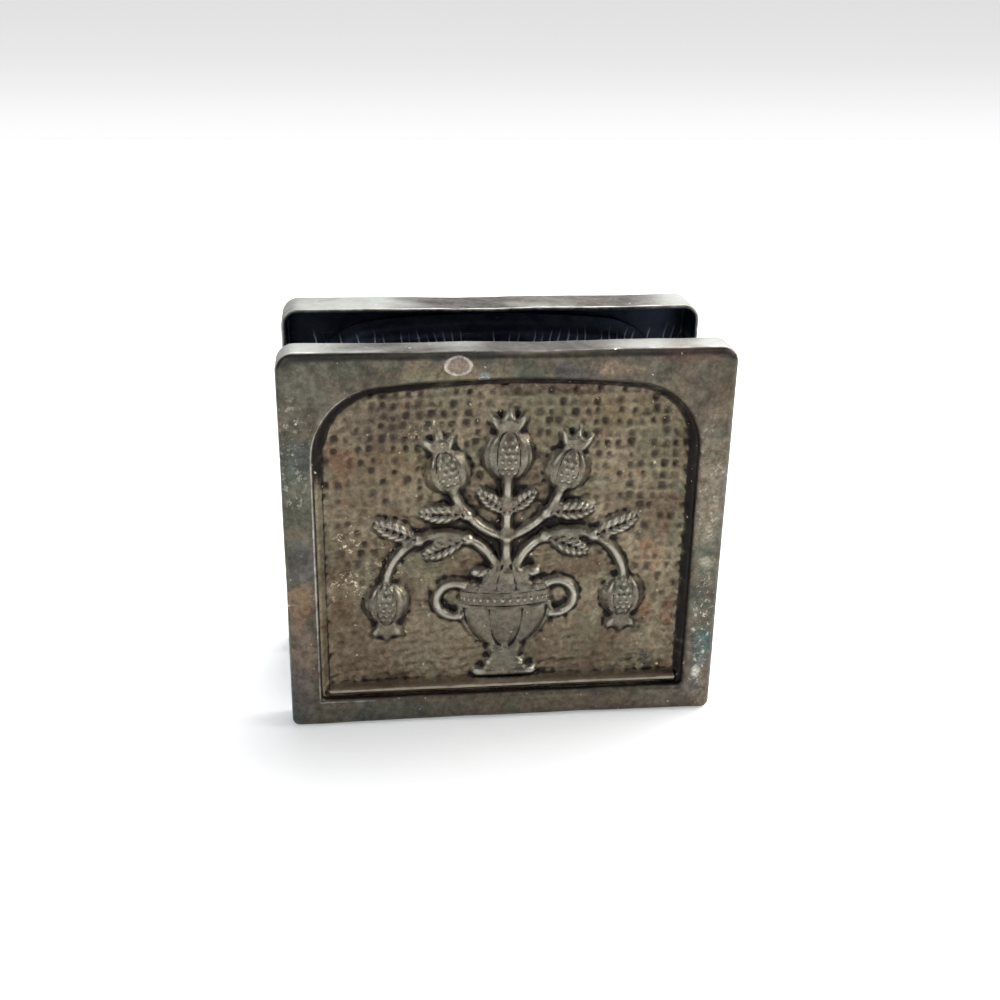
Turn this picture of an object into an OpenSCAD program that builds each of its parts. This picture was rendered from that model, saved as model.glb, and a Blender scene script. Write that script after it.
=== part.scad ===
/* [Plates] */
// Width of both plates
plate_w = 74; // [68:0.5:84]
// Height of both plates
plate_h = 67.4; // [62:0.2:76]
// Depth of the front plate, from its face to the lip of its turned edge
front_depth = 6.1; // [5:0.1:9]
// Depth of the back plate, from its face to the lip of its turned edge
back_depth = 9.4; // [7:0.1:13]
// Thickness of the sheet that the two frames are raised from
frame_t = 0.7; // [0.5:0.05:0.8]
// Radius over the bend between a face and its turned edge
bend_r = 1.2; // [1:0.05:1.3]
// Radius of the two upper corners of a plate
upper_corner_r = 3; // [2:0.1:5]
// Radius of the two lower corners of a plate
lower_corner_r = 1.4; // [1.4:0.1:2.4]

/* [Slot] */
// Clear width between the plates, a 20 mm household matchbox and its play
slot_w = 20.4; // [12:0.2:30]
// Thickness of the strip that ties the plates together
base_t = 0.8; // [0.5:0.05:1.2]
// Play between the ends of the strip and the lower corners
base_end_gap = 0.2; // [0.1:0.05:0.6]
// How far the strip stays behind the face of each plate
base_setback = 1.6; // [1.4:0.1:2.4]

/* [Window] */
// Width of the frame at each side of the window
side_border = 5.4; // [4.2:0.1:8]
// Width of the frame over the window
top_border = 5; // [4:0.1:8]
// Width of the frame under the window
bottom_border = 5; // [4.6:0.1:8]
// Radius of the window's upper corners
arch_r = 12; // [8:0.5:16]
// Rise of the window's top edge over its whole width
arch_rise = 2.4; // [1:0.1:5]
// Radius over the roll of the frame into the window
lip_r = 1; // [0.85:0.05:1.4]
// Depth of the rolled lip, from the face to its edge
lip_depth = 1.5; // [1.45:0.05:2]

/* [Panels] */
// Thickness of the sheet that the two panels are raised from
panel_t = 0.6; // [0.4:0.05:0.8]
// Depth of the ground below the face of the frame
recess = 2.6; // [2.2:0.1:3.4]
// Width of the ledge between the lip and the top of the panel's wall
ledge = 0.3; // [0.1:0.05:0.6]
// How far the panel's wall leans in between the ledge and the ground
wall_lean = 0.9; // [0.4:0.1:1.6]
// Width of the flange that lies behind the lip, measured out from the window
landing = 1.9; // [1.2:0.1:2.4]
// Height of the sill at the foot of the ground
sill_h = 1.8; // [1.2:0.1:3]
// Depth of the sill's nose below the face of the frame
sill_depth = 0.5; // [0.2:0.1:1.2]

/* [Ornament] */
// Height of the tallest relief above the ground
relief_h = 2.3; // [1.4:0.1:2.4]
// Free height between the ornament and the top of the ground
ornament_gap = 4; // [2:0.2:10]
// Width of the urn's bowl
bowl_w = 18; // [15:0.5:20]
// Height of the urn up to its mouth
urn_h = 23.5; // [22:0.5:26]
// Radius of the stems
stem_r = 1.1; // [0.8:0.05:1.3]
// Radius of the fruits on the side branches
fruit_r = 4.4; // [3.6:0.1:4.8]
// Length of the leaves
leaf_l = 10; // [8:0.2:11]

/* [Hidden] */
depth = front_depth + slot_w + back_depth;
silver = [0.36, 0.35, 0.33];
dark_silver = [0.27, 0.25, 0.22];

// Window: half width, foot, crown, and the two radii that meet along its top edge
win_half = plate_w / 2 - side_border;
win_foot = bottom_border;
win_top = plate_h - top_border;
crown_r = (win_half * win_half + arch_rise * arch_rise) / (2 * arch_rise);
arch_cx = win_half - arch_r;
arch_lean = asin(arch_cx / (crown_r - arch_r));
crown_cz = win_top - crown_r;
arch_cz = crown_cz + (crown_r - arch_r) * cos(arch_lean);
corner_steps = 14;
crown_steps = 12;
lip_steps = 4;
lap = 0.3;

// Ground of a panel, and the room that the ornament has on it
ground_inset = ledge + wall_lean;
sill_foot = win_foot + ledge + 0.2;
sill_top = sill_foot + sill_h;
ground_top = win_top - ground_inset;
sink = panel_t / 2;

// Ornament: its bends are [radius, turn, side of the leaf at the end]
top_fruit_r = 1.12 * fruit_r;
centre_l = 19;
low_bends = [[10.5, -50, -1], [10.5, -50, 1], [10.5, -65, 0]];
high_bends = [[14, 36, -1], [14, 24, 0]];
low_start = -15;
high_start = -75;
low_offset = 1.5;
high_share = 0.36;
pair_share = 0.6;
pair_size = 0.8;
leaf_turn = 48;
root_depth = 1;
ornament_h = urn_h - root_depth + centre_l + 2.6 * top_fruit_r;
ornament_s = (ground_top - sill_top - ornament_gap) / ornament_h;
relief_top = relief_h / ornament_s;
hollow = panel_t / ornament_s;
under = 2 * panel_t;
leaf_share = 0.62;
crown_share = 0.55;
crown_y = 1.55;
crown_spread = 40;
dome_share = 1.1;
rib = 0.7;
stem_z = 0.3;
knot_r = 1.35 * stem_r;
knot_play = 15;

// Urn, from its foot up: widths follow the bowl's, radii are those of the bars
foot_h = 6.4;
foot_w = 0.72 * bowl_w;
foot_r = 1.3;
step_w = 0.46 * bowl_w;
step_r = 1.1;
stalk_w = 0.38 * bowl_w;
stalk_r = 1.8;
knop_w = 0.34 * bowl_w;
knop_r = 1;
bowl_y = foot_h + bowl_w / 2;
bowl_cut = 0.57 * bowl_w / 2;
neck_w = 0.66 * bowl_w;
neck_h = 4;
neck_r = 2.4;
mouth_w = 0.76 * bowl_w;
mouth_r = 1.2;
handle_r = 0.19 * bowl_w;
handle_up = 1.4;
handle_out = 0.5;

// A point on a circle in the plane of the plate
function on_circle(cx, cz, r, a) = [cx + r * cos(a), cz + r * sin(a)];

// The window's outline, moved in by d, counter-clockwise from its lower left corner
function arch_points(d) = concat(
    [[-(win_half - d), win_foot + d], [win_half - d, win_foot + d]],
    [for (i = [0:corner_steps])
        on_circle(arch_cx, arch_cz, arch_r - d, (90 - arch_lean) * i / corner_steps)],
    [for (i = [1:crown_steps - 1])
        on_circle(0, crown_cz, crown_r - d, 90 - arch_lean + 2 * arch_lean * i / crown_steps)],
    [for (i = [0:corner_steps])
        on_circle(-arch_cx, arch_cz, arch_r - d,
            90 + arch_lean + (90 - arch_lean) * i / corner_steps)]
);

// Section of the rolled lip, as [inset, depth] from its outer side round to its inner side
function lip_section() = concat(
    [[-lip_r - lap, 0]],
    [for (i = [0:lip_steps])
        [-lip_r + lip_r * sin(90 * i / lip_steps), lip_r - lip_r * cos(90 * i / lip_steps)]],
    [[0, lip_depth], [-frame_t, lip_depth]],
    [for (i = [lip_steps:-1:0])
        [-lip_r + (lip_r - frame_t) * sin(90 * i / lip_steps),
            lip_r - (lip_r - frame_t) * cos(90 * i / lip_steps)]],
    [[-lip_r - lap, frame_t]]
);

// Carries a section of [inset, depth] points round the window as one closed ring
module window_ring(section) {
    n = len(section);
    m = len(arch_points(0));
    points = [for (s = section) each [for (p = arch_points(s[0])) [p[0], s[1], p[1]]]];
    sides = [for (i = [0:n - 1], j = [0:m - 1]) each
        let (k = (i + 1) % n, a = i * m + j, b = k * m + j,
            c = i * m + (j + 1) % m, d = k * m + (j + 1) % m)
        [[a, b, d], [a, d, c]]];
    polyhedron(points = points, faces = sides, convexity = 6);
}

// A solid with the window's outline, moved in by d0 at depth y0 and by d1 at depth y1
module window_loft(d0, y0, d1, y1) {
    m = len(arch_points(0));
    points = concat([for (p = arch_points(d0)) [p[0], y0, p[1]]],
        [for (p = arch_points(d1)) [p[0], y1, p[1]]]);
    sides = [for (j = [0:m - 1]) each
        let (a = j, b = j + m, c = (j + 1) % m, d = (j + 1) % m + m)
        [[a, d, b], [a, c, d]]];
    front = [[for (j = [m - 1:-1:0]) j]];
    back = [[for (j = [0:m - 1]) j + m]];
    polyhedron(points = points, faces = concat(sides, front, back), convexity = 4);
}

// Lifts an outline drawn in x and z to a slab from depth y, t thick
module slab(y, t) {
    translate([0, y + t, 0]) rotate([90, 0, 0]) linear_extrude(t) children();
}

// Section of the turned edge: x runs in from the outline, y back from the face
module edge_section(d) {
    intersection() {
        difference() {
            translate([bend_r, bend_r]) circle(r = bend_r, $fn = 48);
            translate([bend_r, bend_r]) circle(r = bend_r - frame_t, $fn = 48);
        }
        square([bend_r, bend_r]);
    }
    translate([0, bend_r]) square([frame_t, d - bend_r]);
}

// A straight stretch of turned edge, drawn up the left side
module edge_run(d, l) {
    linear_extrude(l) edge_section(d);
}

// A quarter turn of the edge about a plate corner of radius r, starting at angle a
module edge_corner(d, r, a) {
    rotate([-90, 0, 0]) rotate([0, 0, a]) rotate_extrude(angle = 90, $fn = 64)
        translate([r, 0]) mirror([1, 0]) edge_section(d);
}

// The face of a plate inside its bends
module face_outline() {
    x = plate_w / 2 - bend_r;
    ru = upper_corner_r - bend_r;
    rl = lower_corner_r - bend_r;
    translate([-x, bend_r + rl]) square([2 * x, plate_h - 2 * bend_r - ru - rl]);
    translate([-x + rl, bend_r]) square([2 * x - 2 * rl, rl]);
    translate([-x + ru, plate_h - bend_r - ru]) square([2 * x - 2 * ru, ru]);
    for (s = [-1, 1]) {
        translate([s * (x - rl), bend_r + rl]) circle(r = rl, $fn = 48);
        translate([s * (x - ru), plate_h - bend_r - ru]) circle(r = ru, $fn = 48);
    }
}

// One raised frame: a flat border round the window, rolled in there and turned back at its edge
module frame(d) {
    half = plate_w / 2;
    ru = upper_corner_r;
    rl = lower_corner_r;
    difference() {
        slab(0, frame_t) face_outline();
        slab(-1, frame_t + 2) polygon(arch_points(-lip_r));
    }
    window_ring(lip_section());
    translate([-half, 0, rl]) edge_run(d, plate_h - ru - rl);
    translate([-half + ru, 0, plate_h]) rotate([0, 90, 0]) edge_run(d, plate_w - 2 * ru);
    translate([half, 0, plate_h - ru]) rotate([0, 180, 0]) edge_run(d, plate_h - ru - rl);
    translate([half - rl, 0, 0]) rotate([0, 270, 0]) edge_run(d, plate_w - 2 * rl);
    translate([-half + ru, 0, plate_h - ru]) edge_corner(d, ru, 180);
    translate([half - ru, 0, plate_h - ru]) edge_corner(d, ru, 270);
    translate([half - rl, 0, rl]) edge_corner(d, rl, 0);
    translate([-half + rl, 0, rl]) edge_corner(d, rl, 90);
}

// One raised panel: a flange behind the lip, a leaning wall and a flat ground
module panel_tray() {
    difference() {
        union() {
            slab(lip_depth, panel_t) polygon(arch_points(-landing));
            window_loft(ledge - panel_t, lip_depth, ground_inset - panel_t, recess + panel_t);
        }
        window_loft(ledge - wall_lean, lip_depth - (recess - lip_depth), ground_inset, recess);
    }
}

// What follows draws the relief lying down: x across, y up the plate, z out of the ground

// A domed boss: a ball cut to a round outline of radius r, with its crown at height top
module boss(r, top, inset = 0) {
    ball = (1.3 * r * r + top * top) / (2 * top);
    intersection() {
        translate([0, 0, top - ball]) sphere(r = ball - inset, $fn = 64);
        translate([0, 0, -under]) cylinder(r = r - inset, h = top + under, $fn = 48);
    }
}

// A domed petal or leaf that grows up from the origin, w wide and l long, z high
module blade(w, l, z) {
    side_r = (l * l + w * w) / (4 * w);
    ball = dome_share * l;
    intersection() {
        translate([side_r - w / 2, l / 2, -sink]) cylinder(r = side_r, h = z + sink, $fn = 64);
        translate([w / 2 - side_r, l / 2, -sink]) cylinder(r = side_r, h = z + sink, $fn = 64);
        translate([0, l / 2, z - ball]) sphere(r = ball, $fn = 64);
    }
}

// A ripe fruit with a three-pointed crown, growing up from the origin
module fruit(r, inset = 0) {
    translate([0, r - stem_r, 0]) boss(r, relief_top, inset);
    if (inset == 0)
        for (a = [-crown_spread, 0, crown_spread]) translate([0, crown_y * r, 0]) rotate([0, 0, a])
            blade(0.5 * r, 1.1 * r, crown_share * relief_top);
}

// A pointed leaf with a sunk midrib, growing up from the origin
module leaf(l) {
    rise = leaf_share * relief_top;
    difference() {
        blade(0.42 * l, l, rise);
        translate([0, 0, rise]) rotate([0, 45, 0]) cube([rib, 3 * l, rib], center = true);
    }
}

// A stem that grows up from the origin through bends of [radius, turn, leaf side], with a knot
// where each bend begins and its children at its end. A turn to the left is positive.
module branch(bends, inset, i = 0) {
    if (inset == 0) translate([0, 0, stem_z]) sphere(r = knot_r, $fn = 32);
    if (i < len(bends)) {
        r = bends[i][0];
        turn = bends[i][1];
        side = bends[i][2];
        c = turn > 0 ? -r : r;
        play = knot_play / r;
        translate([c, 0, 0]) {
            if (inset == 0)
                translate([0, 0, stem_z]) rotate([0, 0, (turn > 0 ? 0 : 180 + turn) + play])
                    rotate_extrude(angle = abs(turn) - 2 * play, $fn = 96)
                    translate([r, 0]) circle(r = stem_r, $fn = 24);
            rotate([0, 0, turn]) translate([-c, 0, 0]) {
                if (side != 0 && inset == 0) rotate([0, 0, leaf_turn * side]) leaf(leaf_l);
                branch(bends, inset, i + 1) children();
            }
        }
    } else children();
}

// A half-round bar across the plate, w wide with round ends
module bar(w, r) {
    translate([0, 0, stem_z]) rotate([0, 90, 0]) rotate_extrude($fn = 32)
        intersection() {
            union() {
                square([2 * r, w - 2 * r], center = true);
                for (s = [-1, 1]) translate([0, s * (w / 2 - r)]) circle(r = r, $fn = 32);
            }
            translate([0, -w / 2]) square([r, w]);
        }
}

// A waisted piece of the urn, w wide and l high, rounded over to height z, with hollows of radius r
// at its sides
module waist(w, l, r, z) {
    drop = 0.6 * z;
    round_r = (w * w / 4 + drop * drop) / (2 * drop);
    intersection() {
        translate([0, 0, -sink]) linear_extrude(z + sink) difference() {
            translate([-w / 2, 0]) square([w, l]);
            for (s = [-1, 1]) translate([s * (w / 2 + 0.45 * r), l / 2]) circle(r = r, $fn = 48);
        }
        translate([0, -1, z - round_r]) rotate([-90, 0, 0]) cylinder(r = round_r, h = l + 2, $fn = 96);
    }
}

module urn(inset = 0) {
    r = bowl_w / 2;
    intersection() {
        translate([0, bowl_y, 0]) boss(r, relief_top, inset);
        translate([-r, 0, -under]) cube([bowl_w, bowl_y + bowl_cut - inset, relief_top + under]);
    }
    if (inset == 0) {
        translate([0, foot_r, 0]) bar(foot_w, foot_r);
        translate([0, 3 * step_r, 0]) bar(step_w, step_r);
        waist(stalk_w, foot_h + step_r / 2, stalk_r, crown_share * relief_top);
        translate([0, foot_h - knop_r / 3, 0]) bar(knop_w, knop_r);
        translate([0, urn_h - neck_h - mouth_r / 2, 0]) waist(neck_w, neck_h, neck_r, 0.75 * relief_top);
        translate([0, urn_h - mouth_r, 0]) bar(mouth_w, mouth_r);
        for (s = [0, 1]) mirror([s, 0, 0]) translate([r + handle_out, bowl_y + handle_up, stem_z])
            rotate([0, 0, -125]) rotate_extrude(angle = 260, $fn = 64)
                translate([handle_r, 0]) circle(r = stem_r, $fn = 24);
    }
}

// A straight stem that grows up from the origin
module shaft(l) {
    translate([0, 0, stem_z]) rotate([-90, 0, 0]) cylinder(r = stem_r, h = l, $fn = 24);
}

// The whole relief: an urn with fruiting branches, alike on both sides. With an inset, only the
// hollows that the raising leaves behind the urn and the fruits.
module ornament(inset = 0) {
    urn(inset);
    translate([0, urn_h - root_depth, 0]) {
        if (inset == 0) {
            shaft(centre_l);
            for (s = [-1, 1]) translate([0, pair_share * centre_l, 0]) rotate([0, 0, leaf_turn * s])
                leaf(pair_size * leaf_l);
        }
        translate([0, centre_l, 0]) fruit(top_fruit_r, inset);
        for (m = [0, 1]) mirror([m, 0, 0]) {
            translate([low_offset, 0, 0]) rotate([0, 0, low_start])
                branch(low_bends, inset) fruit(fruit_r, inset);
            translate([0, high_share * centre_l, 0]) rotate([0, 0, high_start])
                branch(high_bends, inset) fruit(fruit_r, inset);
        }
    }
}

module front_frame() {
    color(silver) translate([0, -depth / 2, 0]) frame(front_depth);
}

module back_frame() {
    color(silver) translate([0, depth / 2, 0]) rotate([0, 0, 180]) frame(back_depth);
}

module back_panel() {
    color(dark_silver) translate([0, depth / 2, 0]) rotate([0, 0, 180]) panel_tray();
}

// The sill, a round-nosed bar along the foot of the ground
module sill() {
    nose = sill_h / 2;
    nose_z = recess - sill_depth - nose;
    l = 2 * (win_half - ground_inset + sink);
    translate([-l / 2, -nose, 0]) rotate([90, 0, 90]) linear_extrude(l) {
        translate([0, nose_z]) circle(r = nose, $fn = 32);
        translate([-nose, -sink]) square([sill_h, nose_z + sink]);
    }
}

module front_panel() {
    color(dark_silver) translate([0, -depth / 2, 0]) difference() {
        union() {
            panel_tray();
            translate([0, recess, sill_top]) rotate([90, 0, 0]) {
                sill();
                intersection() {
                    scale(ornament_s) ornament();
                    translate([-win_half, -sill_h, -sink])
                        cube([2 * win_half, win_top, recess + sink]);
                }
            }
        }
        translate([0, recess, sill_top]) rotate([90, 0, 0]) scale(ornament_s) ornament(hollow);
    }
}

module base_strip() {
    l = plate_w - 2 * (lower_corner_r + base_end_gap);
    w = depth - 2 * base_setback;
    color(silver) translate([-l / 2, -w / 2, frame_t]) cube([l, w, base_t]);
}

front_frame();
front_panel();
back_frame();
back_panel();
base_strip();
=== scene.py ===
# Matchbox holder in old silver plate: two raised plates face each other, tied by a strip at the foot.
# Each plate is a frame of sheet round an arched window, with a raised panel behind the window.
import math

import bpy
import bmesh
import numpy as np
from mathutils import Matrix, Vector


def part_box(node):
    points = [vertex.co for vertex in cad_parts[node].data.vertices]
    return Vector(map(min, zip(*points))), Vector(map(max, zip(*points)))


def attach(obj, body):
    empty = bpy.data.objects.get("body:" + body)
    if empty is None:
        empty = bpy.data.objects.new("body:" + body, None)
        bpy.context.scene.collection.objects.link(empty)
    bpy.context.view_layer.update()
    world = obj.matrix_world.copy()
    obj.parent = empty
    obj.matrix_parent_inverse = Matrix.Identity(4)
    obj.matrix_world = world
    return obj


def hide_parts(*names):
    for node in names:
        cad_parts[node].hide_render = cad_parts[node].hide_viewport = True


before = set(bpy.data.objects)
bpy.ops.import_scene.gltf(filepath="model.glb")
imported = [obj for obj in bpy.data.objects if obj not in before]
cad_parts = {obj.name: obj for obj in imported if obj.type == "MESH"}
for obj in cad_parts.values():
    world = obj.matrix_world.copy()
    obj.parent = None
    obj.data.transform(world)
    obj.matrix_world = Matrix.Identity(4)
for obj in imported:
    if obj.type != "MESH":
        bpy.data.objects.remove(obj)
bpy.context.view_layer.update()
mm = 0.001

# The camera: lengths in plate widths from the foot of the front plate's face, angles in degrees
shot = {
    "focalPixels": 1315.2,
    "framePixels": 1000,
    "pitch": 23.08,
    "yaw": 6.87,
    "roll": 1.05,
    "right": 0.01017,
    "down": 0.52092,
    "away": 3.14055,
    "sensor": 36.0,
}


def turn(axis, degrees):
    return Matrix.Rotation(math.radians(degrees), 3, axis)


def makeCamera(s):
    low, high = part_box("front_frame")
    basis = Matrix(((1, 0, 0), (0, 0, -1), (0, 1, 0)))       # camera x right, y down, z ahead
    toCamera = turn("Z", s["roll"]) @ turn("X", s["pitch"]) @ basis @ turn("Z", s["yaw"])
    offset = Vector((s["right"], s["down"], s["away"])) * (high.x - low.x)
    place = Vector((0, low.y, 0)) - toCamera.transposed() @ offset
    spin = Matrix((toCamera[0], -toCamera[1], -toCamera[2])).transposed()
    data = bpy.data.cameras.new("photoCamera")
    data.sensor_width = s["sensor"]
    data.lens = s["focalPixels"] / s["framePixels"] * s["sensor"]
    data.clip_start = 0.01
    camera = bpy.data.objects.new("photoCamera", data)
    camera.matrix_world = Matrix.Translation(place) @ spin.to_4x4()
    bpy.context.collection.objects.link(camera)
    bpy.context.scene.camera = camera


makeCamera(shot)
print("camera placed")


# What both plates share, in millimetres, as the sheet was cut and raised
plate = {
    "sheet": 0.7,
    "bend": 1.2,
    "upperCorner": 3.0,
    "lowerCorner": 1.4,
    "sideBorder": 5.4,
    "topBorder": 5.0,
    "bottomBorder": 5.0,
    "archRadius": 12.0,
    "archRise": 2.4,
    "lipRadius": 1.0,
    "lipDepth": 1.5,
    "windowCorner": 0.7,
    "panelSheet": 0.6,
    "recess": 2.6,
    "landing": 1.9,
    "groundInset": 1.2,
    "sillTop": 7.3,
}
frontLow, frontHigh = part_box("front_frame")
backLow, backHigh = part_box("back_frame")
plateWidth = (frontHigh.x - frontLow.x) / mm
plateHeight = (frontHigh.z - frontLow.z) / mm
halfWindow = plateWidth / 2 - plate["sideBorder"]
windowFoot = plate["bottomBorder"]
windowTop = plateHeight - plate["topBorder"]
crownRadius = (halfWindow ** 2 + plate["archRise"] ** 2) / (2 * plate["archRise"])
archX = halfWindow - plate["archRadius"]
archLean = math.asin(archX / (crownRadius - plate["archRadius"]))
crownZ = windowTop - crownRadius
archZ = crownZ + (crownRadius - plate["archRadius"]) * math.cos(archLean)
sides = {
    "front": {"face": frontLow.y / mm, "way": 1, "depth": (frontHigh.y - frontLow.y) / mm},
    "back": {"face": backHigh.y / mm, "way": -1, "depth": (backHigh.y - backLow.y) / mm},
}


def spot(side, x, depth, z):
    # x across the plate as seen from outside it, depth in from its face, z up; millimetres in, metres out
    s = sides[side]
    x, depth, z = np.broadcast_arrays(x, depth, z)
    return np.stack([x * s["way"], s["face"] + depth * s["way"], z], axis=-1) * mm


def deselectAll():
    if bpy.context.object and bpy.context.object.mode != "OBJECT":
        bpy.ops.object.mode_set(mode="OBJECT")
    bpy.ops.object.select_all(action="DESELECT")


def pick(piece):
    deselectAll()
    piece.select_set(True)
    bpy.context.view_layer.objects.active = piece


def applyModifiers(piece):
    pick(piece)
    for modifier in list(piece.modifiers):
        bpy.ops.object.modifier_apply(modifier=modifier.name)


def getPoints(piece):
    points = np.empty(len(piece.data.vertices) * 3)
    piece.data.vertices.foreach_get("co", points)
    return points.reshape(-1, 3)


def setPoints(piece, points):
    piece.data.vertices.foreach_set("co", points.astype(np.float32).ravel())
    piece.data.update()


def storeMask(piece, name, values):
    layer = piece.data.attributes.new(name, "FLOAT", "POINT")
    layer.data.foreach_set("value", np.clip(values, 0, 1).astype(np.float32).ravel())


def smoothStep(low, high, values):
    t = np.clip((values - low) / (high - low), 0, 1)
    return t * t * (3 - 2 * t)


def groove(distance, width):
    return np.exp(-(distance / width) ** 2)


def wander(points, size, seed, waves=10):
    # soft random waves of about this size over the points, about one high
    rng = np.random.RandomState(seed)
    total = np.zeros(points.shape[:-1])
    for _ in range(waves):
        heading = rng.normal(size=points.shape[-1])
        heading *= 2 * math.pi / size * rng.uniform(0.6, 1.5) / np.linalg.norm(heading)
        total += np.sin(points @ heading + rng.uniform(0, 2 * math.pi))
    return total / math.sqrt(waves / 2)


def smoothShade(piece, degrees=180):
    pick(piece)
    if degrees >= 180:
        bpy.ops.object.shade_smooth()
    else:
        bpy.ops.object.shade_smooth_by_angle(angle=math.radians(degrees))


# Loops round a plate, counter-clockwise from the lower left corner, as seen from outside it
stations = {"foot": 84, "lowerCorner": 7, "side": 72, "upperCorner": 20, "top": 78}


def lineOf(start, end, count):
    t = np.arange(count)[:, None] / count
    return np.array(start) * (1 - t) + np.array(end) * t


def arcOf(centre, radius, start, end, count):
    a = np.radians(start + (end - start) * np.arange(count) / count)
    return np.stack([centre[0] + radius * np.cos(a), centre[1] + radius * np.sin(a)], axis=-1)


def plateLoop(inset):
    half, top = plateWidth / 2, plateHeight
    low, high = plate["lowerCorner"], plate["upperCorner"]
    n = stations
    return np.concatenate([
        lineOf((-half + low, inset), (half - low, inset), n["foot"]),
        arcOf((half - low, low), low - inset, -90, 0, n["lowerCorner"]),
        lineOf((half - inset, low), (half - inset, top - high), n["side"]),
        arcOf((half - high, top - high), high - inset, 0, 90, n["upperCorner"]),
        lineOf((half - high, top - inset), (-half + high, top - inset), n["top"]),
        arcOf((-half + high, top - high), high - inset, 90, 180, n["upperCorner"]),
        lineOf((-half + inset, top - high), (-half + inset, low), n["side"]),
        arcOf((-half + low, low), low - inset, 180, 270, n["lowerCorner"]),
    ])


def windowLoop(inset):
    corner, radius, lean = plate["windowCorner"], plate["archRadius"], math.degrees(archLean)
    wide, foot = halfWindow - inset, windowFoot + inset
    n = stations
    return np.concatenate([
        lineOf((-halfWindow + corner, foot), (halfWindow - corner, foot), n["foot"]),
        arcOf((halfWindow - corner, windowFoot + corner), corner - inset, -90, 0, n["lowerCorner"]),
        lineOf((wide, windowFoot + corner), (wide, archZ), n["side"]),
        arcOf((archX, archZ), radius - inset, 0, 90 - lean, n["upperCorner"]),
        arcOf((0, crownZ), crownRadius - inset, 90 - lean, 90 + lean, n["top"]),
        arcOf((-archX, archZ), radius - inset, 90 + lean, 180, n["upperCorner"]),
        lineOf((-wide, archZ), (-wide, windowFoot + corner), n["side"]),
        arcOf((-halfWindow + corner, windowFoot + corner), corner - inset, 180, 270, n["lowerCorner"]),
    ])


def windowTopAt(x, inset):
    # height of the window's upper edge over x
    crown, corner = crownRadius - inset, plate["archRadius"] - inset
    along = np.abs(x)
    overCrown = crownZ + np.sqrt(np.maximum(crown ** 2 - along ** 2, 0))
    overCorner = archZ + np.sqrt(np.maximum(corner ** 2 - (along - archX) ** 2, 0))
    return np.where(along <= crown * math.sin(archLean), overCrown, overCorner)


def windowInset(x, z):
    # how far a point lies inside the window's outline
    along = np.abs(x)
    corner = plate["archRadius"] - np.hypot(along - archX, z - archZ)
    straight = np.minimum(halfWindow - along, z - windowFoot)
    crown = crownRadius - np.hypot(along, z - crownZ)
    inCorner = (along > archX) & (z > archZ) & (np.arctan2(along - archX, z - archZ) > archLean)
    return np.where(inCorner, corner, np.minimum(straight, crown))


# The two frames, extruded ring by ring from the lip in the window out to the turned edge
frameLook = {
    "lipRows": 5,
    "borderRows": 10,
    "bendRows": 10,
    "flangeStep": 0.65,
    "waviness": 0.07,          # of the flat face
    "pulledIn": 0.32,          # how far the long edges draw in between the corners
    "dings": 0.05,
    "edgeRound": 0.16,
}


def frameRows(side):
    s, look = sides[side], frameLook
    lip, bend, depth = plate["lipRadius"], plate["bend"], s["depth"]
    rows = [(windowLoop(0), plate["lipDepth"]), (windowLoop(0), (plate["lipDepth"] + lip) / 2)]
    for k in range(look["lipRows"] + 1):
        a = math.pi / 2 * k / look["lipRows"]
        rows.append((windowLoop(lip * (math.cos(a) - 1)), lip * (1 - math.sin(a))))
    inner, outer = windowLoop(-lip), plateLoop(bend)
    for k in range(1, look["borderRows"]):
        t = k / look["borderRows"]
        rows.append((inner * (1 - t) + outer * t, 0))
    for k in range(look["bendRows"] + 1):
        a = math.pi / 2 * k / look["bendRows"]
        rows.append((plateLoop(bend * (1 - math.sin(a))), bend * (1 - math.cos(a))))
    steps = round((depth - bend) / look["flangeStep"])
    for k in range(1, steps + 1):
        rows.append((plateLoop(0), bend + (depth - bend) * k / steps))
    return rows


def extrudeRings(name, rings):
    # a circle is laid along the first ring and extruded on to each of the others
    deselectAll()
    bpy.ops.mesh.primitive_circle_add(vertices=len(rings[0]), radius=mm, fill_type="NOTHING")
    piece = bpy.context.object
    piece.name = piece.data.name = name
    bpy.ops.object.mode_set(mode="EDIT")
    mesh = bmesh.from_edit_mesh(piece.data)
    station = mesh.verts.layers.int.new("station")
    for index, vertex in enumerate(mesh.verts):
        vertex[station] = index
        vertex.co = rings[0][index]
    for ring in rings[1:]:
        bpy.ops.mesh.extrude_region_move()
        mesh = bmesh.from_edit_mesh(piece.data)
        station = mesh.verts.layers.int["station"]
        for vertex in mesh.verts:
            if vertex.select:
                vertex.co = ring[vertex[station]]
    bmesh.update_edit_mesh(piece.data)
    bpy.ops.object.mode_set(mode="OBJECT")
    return piece


def faceOutwards(piece, side):
    # the faces of the flat border look out of the plate
    way = sides[side]["way"]
    flat = [p.normal.y for p in piece.data.polygons if abs(p.normal.y) > 0.9]
    if sum(flat) * way > 0:
        pick(piece)
        bpy.ops.object.mode_set(mode="EDIT")
        bpy.ops.mesh.select_all(action="SELECT")
        bpy.ops.mesh.flip_normals()
        bpy.ops.object.mode_set(mode="OBJECT")


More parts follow.
